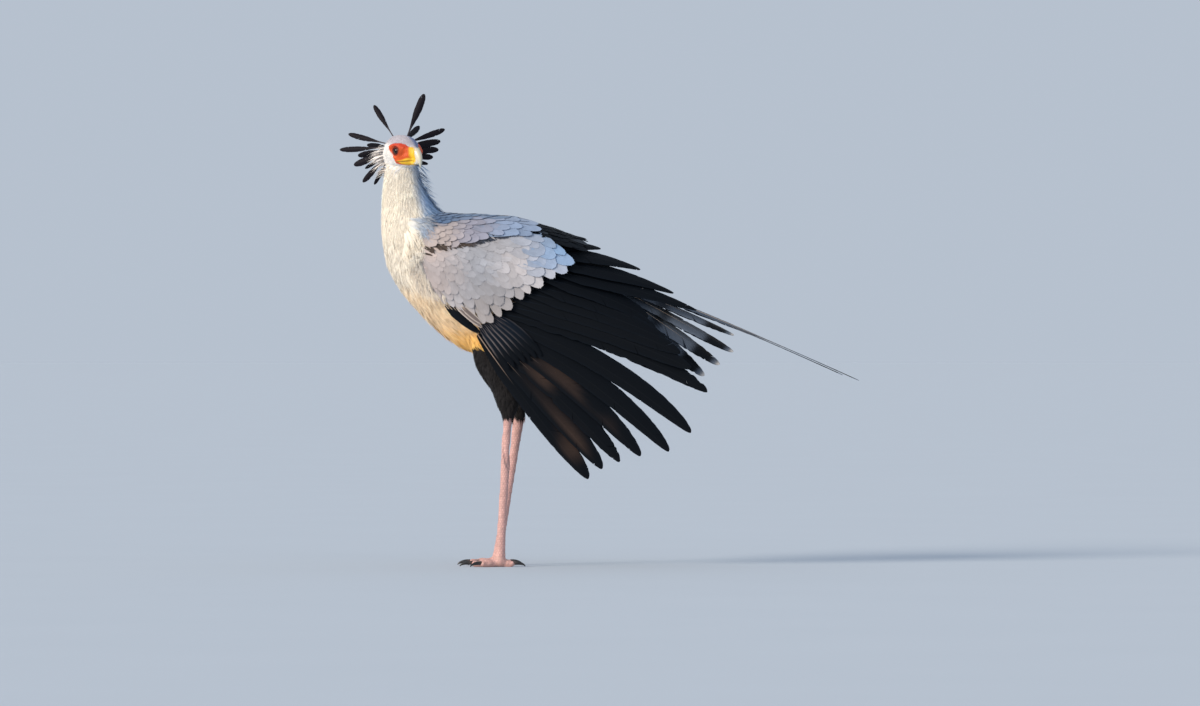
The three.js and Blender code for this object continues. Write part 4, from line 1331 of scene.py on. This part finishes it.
HAND_COVERTS = [(-262 + 6 * k, 528 + 4 * k, 12.2 - 0.5 * k, -196 + 12 * k, 432 + 5 * k, -93, 4 + 2 * k, 0.1)
                for k in range(7)]
ALULA = [(-336, 574, 9, -258, 512, -96, -5, 0.1), (-328, 572, 8, -268, 520, -98, -3, 0.1),
         (-320, 572, 7, -282, 532, -99, -2, 0.1)]
PALE_EDGED = [(-318, 580, 5, -254, 524, -98, -3, 0.1), (-312, 576, 4, -262, 530, -99, -2, 0.1),
              (-300, 572, 3, -256, 534, -100, -2, 0.1)]
# Each fan's quills, outline, lean, and how far up the shaft is pale
FANS = {"hand": (HAND_QUILLS, flight_outline, 0.36, 0.34), "arm": (ARM_QUILLS, flight_outline, 0.42, 0.3),
        "back": (BACK_QUILLS, back_outline, 0.46, 0.2)}
QUILL_WIDTH = 47.0
FLIGHT_SHAFT = shade(168, 146, 130)
COVERT_RIM, COVERT_SHAFT = shade(140, 130, 128), shade(96, 88, 88)
PALE_WEB, PALE_RIM = shade(120, 108, 104), shade(214, 200, 190)


def flight_look(hand, k):
    """Navy black, with brown patches of painted light shining through the webs of the hand's lowest feathers.
    """
    brown = 0.9 * hand * (1 - ease(np.float64(k), 2, 4.5))

    def colour(t, x):
        patch = wave(np.stack([t * 300, x * 20 + k * 31, t * 0], -1), (45, 30, 1), k)
        middle = ease(t, 0.2, 0.45) * (1 - ease(t, 0.8, 0.95)) * ease(-x, -0.8, 0.1)
        black = FLIGHT_BLACK * (1 + 0.5 * ease(np.abs(x), 0.7, 1.0))[..., None]
        return washed(black, (SHINE_THROUGH_BROWN, brown * ease(patch, -0.1, 0.9) * middle))

    frayed = {"gaps": 1.8, "ragged": 0.12} if hand and k in (2, 6) else {}
    shaft_colour = FLIGHT_SHAFT if hand and k < 4 else FLIGHT_BLACK * 2
    return QUILL_WIDTH, colour, {"shaft": 1.1, "shaft_colour": shaft_colour, **frayed}


def hand_covert_look(k):
    dim = 0.7 * (1 - 0.8 * float(ease(HAND_COVERTS[k][0], -250, -225)))

    def colour(t, x):
        rim = ease(np.abs(x), 0.72, 0.92) * (1 - ease(t, 0.45, 0.8)) * dim
        return washed(FLIGHT_BLACK * 3, (FLIGHT_BLACK, ease(t, 0.3, 0.8)), (COVERT_RIM, rim))

    return 17.0, colour, {"stations": 26, "reach": 2, "shaft": 0.6, "gaps": 0.3, "shaft_colour": COVERT_SHAFT}


def alula_look(k):
    """The alula is black, the pale-edged feathers behind it grey with light rims."""
    pale = k >= len(ALULA)

    def colour(_, x):
        rim = ease(np.abs(x), 0.55, 0.85)
        return washed(PALE_WEB, (PALE_RIM, rim)) if pale else FLIGHT_BLACK * (1 + rim)[..., None]

    return 12.0 if pale else 17.0, colour, {"stations": 22, "reach": 2, "shaft": 0.9, "gaps": 0.4}


def quill_fan(name, quills, sign, draw, look, replaces=(), **settings):
    """A piece of quills, mirrored to its own side. The look gives each quill's width, colour and settings."""
    heap = Heap()
    flip = np.array([1, -sign, 1])
    for k, (x, z, depth, tip_x, tip_z, tip_y, bow_up, lift) in enumerate(quills):
        root = on_wing(-1, x, down_from_ridge(x, z), depth)[0]
        tip = np.array([tip_x, tip_y, tip_z], float)
        along = unit(tip - root)
        bend = np.array([-along[2], 0, along[0]]) * bow_up + [0, -3, 0]
        out = np.array([0, -math.cos(lift), math.sin(lift)])
        width, colour, own = look(k)
        stiff_feather(heap, strips(len(quills))[k], root * flip, tip * flip, bend * flip, out * flip, width,
                      colour, draw, **settings, **own)
    heap.piece(name, STIFF, "flight_feathers", replaces)


def make_wing(name, sign, seed):
    draw = np.random.default_rng(seed)
    for part, (quills, outline, lean, pale) in FANS.items():
        quill_fan(f"flight_{name}_{part}", quills, sign, draw, lambda k: flight_look(part == "hand", k),
                  [f"wing_{name}_{part}"], outline=outline, lean=lean if sign < 0 else 1 - lean, pale=pale)
    quill_fan(f"hand_coverts_{name}", HAND_COVERTS, sign, draw, hand_covert_look)
    quill_fan(f"alula_{name}", ALULA + PALE_EDGED, sign, draw, alula_look)
    for k, make in enumerate((make_coverts, make_scapulars, make_shoulder, make_back)):
        make(name, sign, seed + 1 + k)


# Tail: the two middle feathers run far beyond the rest

TAIL_ROOT = np.array([-20.0, 0.0, 644.0])
# From the middle out: [tip x, tip z, tip y, width]
TAIL_QUILLS = [(298, 508, 27, 36), (296, 474, 43, 42), (266, 448, 57, 44), (232, 426, 69, 44),
               (196, 412, 79, 42)]
STREAMERS = {"left": (573, -9, 408), "right": (538, 9, 420)}


def tail_colour(length):
    def colour(t, x):
        from_tip = (1 - t) * length
        bands = ease(from_tip, 14, 22) * (1 - ease(from_tip, 62, 74))
        upper = ease(from_tip, 150, 158) * (1 - ease(from_tip, 176, 188)) * 0.8
        return washed(TAIL_GREY, (TAIL_GREY * 1.5, ease(np.abs(x), 0.6, 1.0) * 0.6),
                      (FLIGHT_BLACK, np.maximum(bands, upper)), (TAIL_WHITE, 1 - ease(from_tip, 3, 11)))
    return colour


def streamer_colour(t, _):
    from_tip = (1 - t) * 640
    bands = ease(from_tip, 12, 20) * (1 - ease(from_tip, 66, 84))
    return washed(TAIL_GREY * 1.1, (TAIL_GREY * 0.7, ease(t, 0.3, 0.9)), (FLIGHT_BLACK, bands),
                  (TAIL_GREY * 1.6, 1 - ease(from_tip, 5, 14)))


def make_tail():
    draw = np.random.default_rng(71)
    heap = Heap()
    places = [(sign, k) for sign in (-1, 1) for k in range(len(TAIL_QUILLS))]
    for (sign, k), strip in zip(places, strips(len(places))):
        x, z, y, width = TAIL_QUILLS[k]
        under = 2.4 * (k + (0.5 if sign > 0 else 0))
        root = np.array([TAIL_ROOT[0], sign * (13 + 3 * k), TAIL_ROOT[2] - under])
        tip = np.array([x, sign * y, z - under], float)
        lift = 1.2 - 0.45 * k / 4
        out = np.array([0, sign * math.cos(lift), math.sin(lift)])
        colour = tail_colour(np.linalg.norm(tip - root))
        stiff_feather(heap, strip, root, tip, np.array([0, 0, 8.0]), out, width, colour, draw, gaps=1.4,
                      ragged=0.06, pale=0.9, camber=0.2)
    heap.piece("tail_fan", STIFF_GREY, "tail_feathers", ["tail"])
    for name, tip in STREAMERS.items():
        heap = Heap()
        sign = np.sign(tip[1])
        root = TAIL_ROOT + [6, sign * 12, 6 - sign * 1.5]
        out = np.array([0, sign * 0.35, 0.94])
        stiff_feather(heap, (0.2, 0.8), root, np.array(tip, float), np.array([0, 0, 12.0]), out, 25.0,
                      streamer_colour, draw, streamer_outline, stations=90, gaps=1.2, ragged=0.12, pale=0.95,
                      shaft=1.6, camber=0.15)
        heap.piece(f"long_tail_feather_{name}", STIFF_GREY, "tail_feathers", [f"tail_streamer_{name}"])


# Crest: where each plume's root sits on the nape [along, left, up] in the head frame, its tip, and its width

CREST = {
    "top_right": ((-34, -6, 33), (-496, 50, 1016), 13), "top_left": ((-26, 24, 28), (-385, 56, 1041), 17),
    "top_back": ((-34, 24, 22), (-397, 104, 972), 14), "right_1": ((-42, -13, 15), (-553, 66, 953), 13),
    "right_2": ((-46, -8, 10), (-513, 96, 930), 12), "right_3": ((-45, -17, 7), (-572, 64, 918), 13),
    "right_4": ((-48, -10, 2), (-533, 92, 906), 15), "right_5": ((-45, -17, -4), (-541, 70, 884), 16),
    "right_6": ((-48, -9, -8), (-517, 88, 877), 9), "right_7": ((-44, -15, -14), (-521, 62, 846), 13),
    "right_8": ((-44, -7, -20), (-496, 74, 841), 9), "left_1": ((-34, 26, 17), (-340, 84, 964), 14),
    "left_2": ((-38, 24, 10), (-350, 94, 938), 16), "left_3": ((-40, 24, 3), (-354, 90, 919), 16),
    "left_4": ((-41, 20, -5), (-366, 88, 902), 15), "left_5": ((-43, 16, -14), (-377, 84, 887), 10),
}


CREST_ROOT, CREST_BLACK, CREST_SHAFT = shade(70, 64, 72), shade(26, 22, 29), shade(84, 76, 78)


def crest_colour(t, x):
    grey = washed(CREST_ROOT, (CREST_BLACK, ease(t, 0.05, 0.4)))
    return grey * (1 + 0.4 * ease(np.abs(x), 0.6, 1.0))[..., None]


def make_crest():
    draw = np.random.default_rng(81)
    heap = Heap()
    for (root, tip, width), strip in zip(CREST.values(), strips(len(CREST))):
        root, tip = from_head(root), np.array(tip, float)
        way = unit(tip - root)
        facing = np.array([0, -1, 0.12])
        out = unit(facing - way * dot(facing, way))
        bend = -0.07 * np.linalg.norm(tip - root) * out
        stiff_feather(heap, strip, root - way * 3, tip, bend, out, width, crest_colour, draw, crest_outline,
                      stations=34, shaft=1.0, gaps=0.25, ragged=0.05, pale=0.4, camber=0.3,
                      shaft_colour=CREST_SHAFT)
    heap.piece("crest", STIFF, "black_feathers", [f"crest_{name}" for name in CREST])


# Bill, eyes, lashes and claws

# Rings of the bill in the head frame: [ridge ahead, ridge up, edge ahead, edge up, half width]
UPPER_BILL = [(38, 21, 36, 2, 8), (46, 20, 42, -4, 10.5), (56, 15.5, 49, -7, 9.5), (64, 8, 55, -9, 7.5),
              (69.5, -2, 60, -11.5, 5.5), (71.3, -11, 64, -14, 3.6), (70.8, -18.5, 66.5, -19.5, 2),
              (69.2, -24.5, 68.2, -24.5, 0.8)]
LOWER_BILL = [(26, -9, 27, -22, 10), (38, -8, 38, -21, 11), (50, -9.5, 50, -19.5, 9),
              (59, -12.5, 58, -17.5, 6), (63.5, -15.5, 63, -16.5, 2.5)]
BILL_RINGS, BILL_SIDES = 46, 40
NOSTRIL = (49.5, 8.5)
HORN_IVORY = shade(224, 213, 188)
HORN_BLUE = shade(146, 158, 158)
NOSTRIL_SHADE = shade(40, 26, 20)
PUPIL, IRIS_BROWN, IRIS_DARK, EYE_RIM = shade(5, 4, 5), shade(70, 36, 20), shade(40, 20, 14), shade(14, 9, 9)
LASH_BLACK = shade(12, 10, 12)
CLAW_BLACK, CLAW_ROOT = shade(24, 20, 20), shade(74, 60, 54)


def make_bill(name, rows, node):
    places = np.linspace(0.001, 0.999, BILL_RINGS)
    ridge_x, ridge_z, edge_x, edge_z, half = spline(rows, places).T[:, :, None]
    out = np.sin(circle(BILL_SIDES))
    share = np.cos(circle(BILL_SIDES)) * 0.5 + 0.5
    side = half * np.sign(out) * np.abs(out) ** 0.82 * (0.78 + 0.22 * (1 - share) ** 0.6 + 0.1 * share)
    ahead, up = blend(edge_x, ridge_x, share), blend(edge_z, ridge_z, share)
    hole = np.zeros_like(side)
    if node == "bill_upper":
        root = 1 - ease(ahead + 0.35 * up, 53.0, 57.0)
        up = up - 1.6 * root * share
        slant = ahead - (up - NOSTRIL[1]) * 0.5
        hole = bump_at(slant, up, NOSTRIL, (3.0, 1.5), 4.0)
        rim = bump_at(slant, up, NOSTRIL, (4.4, 2.6), 4.0) - hole
        side = side * (1 - 0.14 * root) * (1 - (0.24 * hole - 0.05 * rim))
    points, faces = closed_loft(np.stack([ahead, side, up], -1))
    x, _, z = points.T
    if node == "bill_lower":
        tint = washed(CERE_YELLOW, (blend(HORN_IVORY, HORN_BLUE, 0.6), ease(x, 50, 57)))
    else:
        tint = washed(HORN_IVORY, (HORN_BLUE, ease(x - z * 0.5, 62, 82) * 0.55),
                      (HORN_BLUE, ease(z, 11, 19) * ease(x, 46, 60) * 0.35))
    # The nostril is painted dark: painted shade in its opening
    tint = washed(tint, (NOSTRIL_SHADE, np.clip(np.append(hole, [0, 0]) * 1.4, 0, 1)))
    piece(name, from_head(points), faces, HORN, tint, replaces=[node])


def make_eye(name, sign):
    """A wet ball with a bulging front, its pupil and brown iris looking out and a little forwards."""
    rings, sides = 48, 48
    axis = unit(np.array([0.16, sign, 0.04]))
    first = unit(np.cross(axis, [0, 0, 1]))
    second = np.cross(axis, first)
    polar = np.linspace(0.03, math.pi - 0.03, rings)[:, None, None]
    away = EYE_RADIUS * (1 + 0.045 * (1 - ease(polar, 0.45, 0.75)))
    ring = around(first[None], second[None], circle(sides))
    ball = EYE * [1, sign, 1] + away * (np.cos(polar) * axis + np.sin(polar) * ring)
    points, faces = closed_loft(ball)
    angle = np.append(np.repeat(polar, sides), [0.0, math.pi])
    spokes = np.sin(np.append(np.tile(circle(sides) * 17, rings), [0, 0]) + 6 * angle)
    iris = washed(IRIS_BROWN, (IRIS_DARK, ease(angle, 0.5, 0.95))) * (1 + 0.22 * spokes[:, None])
    tint = washed(PUPIL, (iris, ease(angle, 0.5, 0.56)), (EYE_RIM, ease(angle, 0.9, 1.02)))
    piece(name, from_head(points), faces, EYE_GLOSS, tint, replaces=[name])


def make_lashes():
    """Long black lashes on the upper lids."""
    draw = np.random.default_rng(91)
    heap = Heap()
    count, t = 22, np.linspace(0, 1, 6)
    for sign in (1, -1):
        flip = np.array([1, sign, 1])
        for k in range(count):
            angle = math.radians(12 + 150 * k / (count - 1))
            across, rise = math.cos(angle), math.sin(angle)
            root = np.array([EYE[0] + 9.2 * across, 31.5 - 1.4 * rise, EYE[2] + 7.4 * rise])
            reach = 6.5 + 3.5 * rise + draw.random()
            tip = root + np.array([across * 0.55 + 0.1, 0.62, 0.42 * rise + 0.06]) * reach
            bend = np.array([0, 0.9, -0.9]) * flip @ TURN.T
            line = bow(from_head(root * flip), from_head(tip * flip), bend, t)
            ahead = unit(np.gradient(line, axis=0))
            side = unit(np.cross(ahead, [0.3, 0.2, 1.0]))
            ring = around(side, np.cross(ahead, side), circle(4)) * (0.34 * (1 - 0.9 * t))[:, None, None]
            points, faces = closed_loft(line[:, None] + ring)
            heap.add(points, faces, LASH_BLACK, OFBake=np.full((len(points), 2), 0.5))
    heap.piece("lashes", HAIR, "black_feathers")


LEGS = {"left": {"side": -1, "hock": -199, "foot": -216}, "right": {"side": 1, "hock": -176, "foot": -223}}
HOCK_Z, LEG_HALF_SPAN = 322.0, 50.0
# Each toe's turn away from straight ahead in degrees, its length and its half width
TOES = {"inner": (-27, 50, 8.5), "middle": (1, 66, 9), "outer": (30, 52, 8.2), "hind": (172, 34, 8)}
# A claw's half width at shares of its length
CLAW = 22.0
CLAW_ROWS = [(-0.25, 4.4), (0.2, 4.2), (0.6, 3), (0.88, 1.8), (1, 0.9)]
CLAW_RINGS, CLAW_SIDES = 18, 16


def toe_line(leg, turn):
    """A toe's heel and its directions ahead and across."""
    angle = math.radians(turn) * leg["side"]
    ahead = np.array([-math.cos(angle), math.sin(angle), 0.0])
    return np.array([leg["foot"], leg["side"] * LEG_HALF_SPAN, 0.0]), ahead, np.cross(ahead, [0, 0, 1])


def make_claws():
    heap = Heap()
    turn = circle(CLAW_SIDES)
    share, half = spline(CLAW_ROWS, np.linspace(0, 1, CLAW_RINGS)).T[:, :, None]
    height = 0.4 + 8.4 * np.sqrt(1.01 - np.clip(share, 0, 1) ** 2)
    tilt = np.arctan(np.gradient(height[:, 0], share[:, 0] * CLAW))[:, None]
    over = half * np.sin(turn)
    pale = 1 - ease(np.append(np.repeat(share, CLAW_SIDES), [-0.25, 1]), -0.1, 0.3)
    tint = washed(CLAW_BLACK, (CLAW_ROOT, pale * 0.7))
    column = 0.06 + 0.05 * np.append(np.tile(np.cos(turn), CLAW_RINGS), [0, 0])
    level = np.append(np.repeat(np.linspace(0.02, 0.98, CLAW_RINGS), CLAW_SIDES), [0.01, 0.99])
    claws = [(leg, toe) for leg in LEGS for toe in TOES]
    for k, (leg, toe) in enumerate(claws):
        toe_turn, length, _ = TOES[toe]
        heel, ahead, across = toe_line(LEGS[leg], toe_turn)
        out = length + share * CLAW - over * np.sin(tilt)
        rings = heel + out[..., None] * ahead + (half * 0.72 * np.cos(turn))[..., None] * across
        rings[..., 2] = np.maximum(rings[..., 2] + height + over * np.cos(tilt), FLOOR_GAP)
        points, faces = closed_loft(rings)
        heap.add(points, faces, tint, OFBake=np.stack([k / len(claws) + column, level], -1))
    heap.piece("claws", CLAW_HORN, "claw_horn", [f"claw_{leg}_{toe}" for leg, toe in claws])


# Scales of the legs: domed plates set on the skin by geometry nodes

SCALE_CROWN = 0.75
SCALE_COLUMNS, SCALE_LEVELS = 10, 58


def scale_tree():
    """Sets one domed plate on each point, its face along the point's facing, its length along its way."""
    tree = bpy.data.node_groups.new("leg scales", "GeometryNodeTree")
    sockets = [("Geometry", "INPUT", "Geometry"), ("Crown height", "INPUT", "Float"),
               ("Finish", "INPUT", "Material"), ("Geometry", "OUTPUT", "Geometry")]
    made = [tree.interface.new_socket(title, in_out=way, socket_type=f"NodeSocket{kind}")
            for title, way, kind in sockets]
    g = Nodes(tree)

    def attribute(name):
        return g.node("GeometryNodeInputNamedAttribute", {"data_type": "FLOAT_VECTOR"}, {"Name": name})

    source, crown, finish = (Socket(g, output) for output in g.made("NodeGroupInput").outputs[:3])
    size = {"Size X": 1.0, "Size Y": 1.0, "Vertices X": 6, "Vertices Y": 6}
    plate = g.node("GeometryNodeMeshGrid", (), size)
    across, along, _ = g.axes(g.node("GeometryNodeInputPosition"))
    rise = (1 - (across * 2.0).maths("ABSOLUTE") ** 3.0) * (1 - (along * 2.0).maths("ABSOLUTE") ** 3.0)
    lift = g.vector(0.0, 0.0, (rise - 0.35) * crown)
    domed = g.node("GeometryNodeSetPosition", (), {"Geometry": plate, "Offset": lift})
    facing = g.node("FunctionNodeAlignRotationToVector", {"axis": "Z"}, {"Vector": attribute("facing")})
    way = g.node("FunctionNodeAlignRotationToVector", {"axis": "Y", "pivot_axis": "Z"},
                 {"Rotation": facing, "Vector": attribute("way")})
    placed = g.node("GeometryNodeInstanceOnPoints", (), {"Points": source, "Instance": domed, "Rotation": way,
                                                         "Scale": attribute("size")})
    real = g.node("GeometryNodeRealizeInstances", (), {"Geometry": placed})
    coloured = g.node("GeometryNodeSetMaterial", (), {"Geometry": real, "Material": finish})
    g.made("NodeGroupOutput", (), [coloured])
    return tree, made[1].identifier, made[2].identifier


def scale_rows(leg):
    """Where the scales of one leg sit, guessed a little off the skin, the way each points, and its size."""
    rows = []
    for level in range(SCALE_LEVELS):
        z = 26 + 5.2 * level
        x = np.interp(z, [20, HOCK_Z], [leg["foot"], leg["hock"]])
        for column in range(SCALE_COLUMNS):
            turn = (column + 0.5 * (level % 2)) / SCALE_COLUMNS * FULL_TURN
            size = (7.4, 5.9) if math.cos(turn) < -0.55 else (5.8, 5.5)
            rows.append(((x + 16 * math.cos(turn), leg["side"] * LEG_HALF_SPAN + 16 * math.sin(turn), z),
                         (0.03, 0, -1), size))
    for toe_turn, length, half in TOES.values():
        heel, ahead, across = toe_line(leg, toe_turn)
        for k in range(int((length - 6) / 4.3)):
            for column in (-1, 0, 1):
                place = heel + ahead * (8 + 4.3 * k + 2 * abs(column)) + across * column * half * 1.1
                size = (9.5, 5.0) if column == 0 else (5.0, 4.6)
                rows.append((place + [0, 0, 26 - 12 * abs(column)], ahead, size))
    return (np.array(values, float) for values in zip(*rows))


def make_scales():
    tree, crown, finish = scale_tree()
    for name, leg in LEGS.items():
        guesses, ways, sizes = scale_rows(leg)
        count = len(guesses)
        found, normals, _, _ = ground.nearest(guesses)
        mesh = bpy.data.meshes.new("places")
        mesh.from_pydata((found * MM).tolist(), [], [])
        sizes = np.column_stack([sizes * MM, np.ones(count)])
        for title, values in (("facing", normals), ("way", ways), ("size", sizes)):
            write(mesh.attributes.new(title, "FLOAT_VECTOR", "POINT").data, "vector", values)
        obj = put(f"leg_scales_{name}", mesh)
        modifier = obj.modifiers.new("scales", "NODES")
        modifier.node_group = tree
        modifier[crown] = SCALE_CROWN * MM
        modifier[finish] = SCALE
        plates = worked_out(obj)
        bpy.data.objects.remove(obj)
        points = coordinates(plates)
        each = len(points) // count
        own = np.repeat(np.arange(count), each)
        base, face, index, shares = ground.nearest(points)
        height = dot(points - found[own], normals[own])
        curved = base + face * np.maximum(height, -0.1)
        curved[:, 2] = np.maximum(curved[:, 2], FLOOR_GAP)
        plates.calc_loop_triangles()
        tint = lively(LEG_PINK, np.random.default_rng(101), 0.07, count)[own]
        # Plates are painted darker where they sink to the skin and lighter on their domes: painted shade and
        # light
        tint = tint * (0.86 + 0.25 * np.clip(height / 0.5, 0, 1))
        patch = ground.patch(index, shares)
        centre = np.stack([np.bincount(own, patch[:, k]) / each for k in (0, 1)], -1)[own]
        spot = centre + np.clip(patch - centre, -PATCH / 2, PATCH / 2)
        piece(f"leg_scales_{name}", curved, read(plates.loop_triangles, "vertices", 3, np.int32), SCALE,
              tint, {"OFBake": spot})


# The bird, from the skin outwards

skin, skin_kinds = make_skin()
ground = Ground(skin, skin_kinds)
make_coat()
make_rump()
make_ruff()
make_wing("left", SIDES["left"], 41)
make_wing("right", SIDES["right"], 51)
make_tail()
make_crest()
make_bill("upper_bill", UPPER_BILL, "bill_upper")
make_bill("lower_bill", LOWER_BILL, "bill_lower")
make_eye("eye_left", 1)
make_eye("eye_right", -1)
make_lashes()
make_claws()
make_scales()


# Floor, light and camera

CAMERA_DISTANCE = 14.0
FRAME_WIDTH = 2.64
CAMERA_X, CAMERA_Z = 0.0033, 0.4686
FLOOR_HALF = 300
FLOOR_TONES = (0.553, 0.608, 0.680, 1), (0.573, 0.628, 0.700, 1)
SKY_COLOUR, SKY_POWER = (0.76, 0.86, 1.0, 1), 0.62
SUN_WAY, SUN_POWER, SUN_SPREAD, SUN_COLOUR = (0.80, 0.62, -0.42), 3.0, 24, (1.0, 0.90, 0.76)


def make_stage():
    s = Shader("pale_floor", Roughness=0.9, Specular_IOR_Level=0.1)
    mesh = bpy.data.meshes.new("floor")
    corners = [(x * FLOOR_HALF, y * FLOOR_HALF, 0) for x, y in ((-1, -1), (1, -1), (1, 1), (-1, 1))]
    mesh.from_pydata(corners, [], [(0, 1, 2, 3)])
    mesh.materials.append(s.finish(Base_Color=s.mix(s.noise(2.0), *FLOOR_TONES)))
    floor = put("floor", mesh)
    world = bpy.data.worlds.new("studio")
    world.use_nodes = True
    sky = world.node_tree.nodes["Background"]
    sky.inputs[0].default_value, sky.inputs[1].default_value = SKY_COLOUR, SKY_POWER
    bpy.context.scene.world = world
    bpy.context.scene.view_settings.view_transform = "Standard"
    sun = bpy.data.lights.new("key", "SUN")
    sun.energy, sun.angle, sun.color = SUN_POWER, math.radians(SUN_SPREAD), SUN_COLOUR
    lamp = put("key", sun)
    lamp.rotation_mode = "QUATERNION"
    lamp.rotation_quaternion = Vector(SUN_WAY).to_track_quat("-Z", "Y")


def make_camera():
    data = bpy.data.cameras.new("camera")
    data.sensor_width, data.lens = 36.0, 36.0 * CAMERA_DISTANCE / FRAME_WIDTH
    data.clip_start, data.clip_end = 0.5, 2000.0
    camera = put("camera", data)
    camera.location = (CAMERA_X, -CAMERA_DISTANCE, CAMERA_Z)
    camera.rotation_euler = (math.pi / 2, 0, 0)
    bpy.context.scene.camera = camera


make_stage()
make_camera()
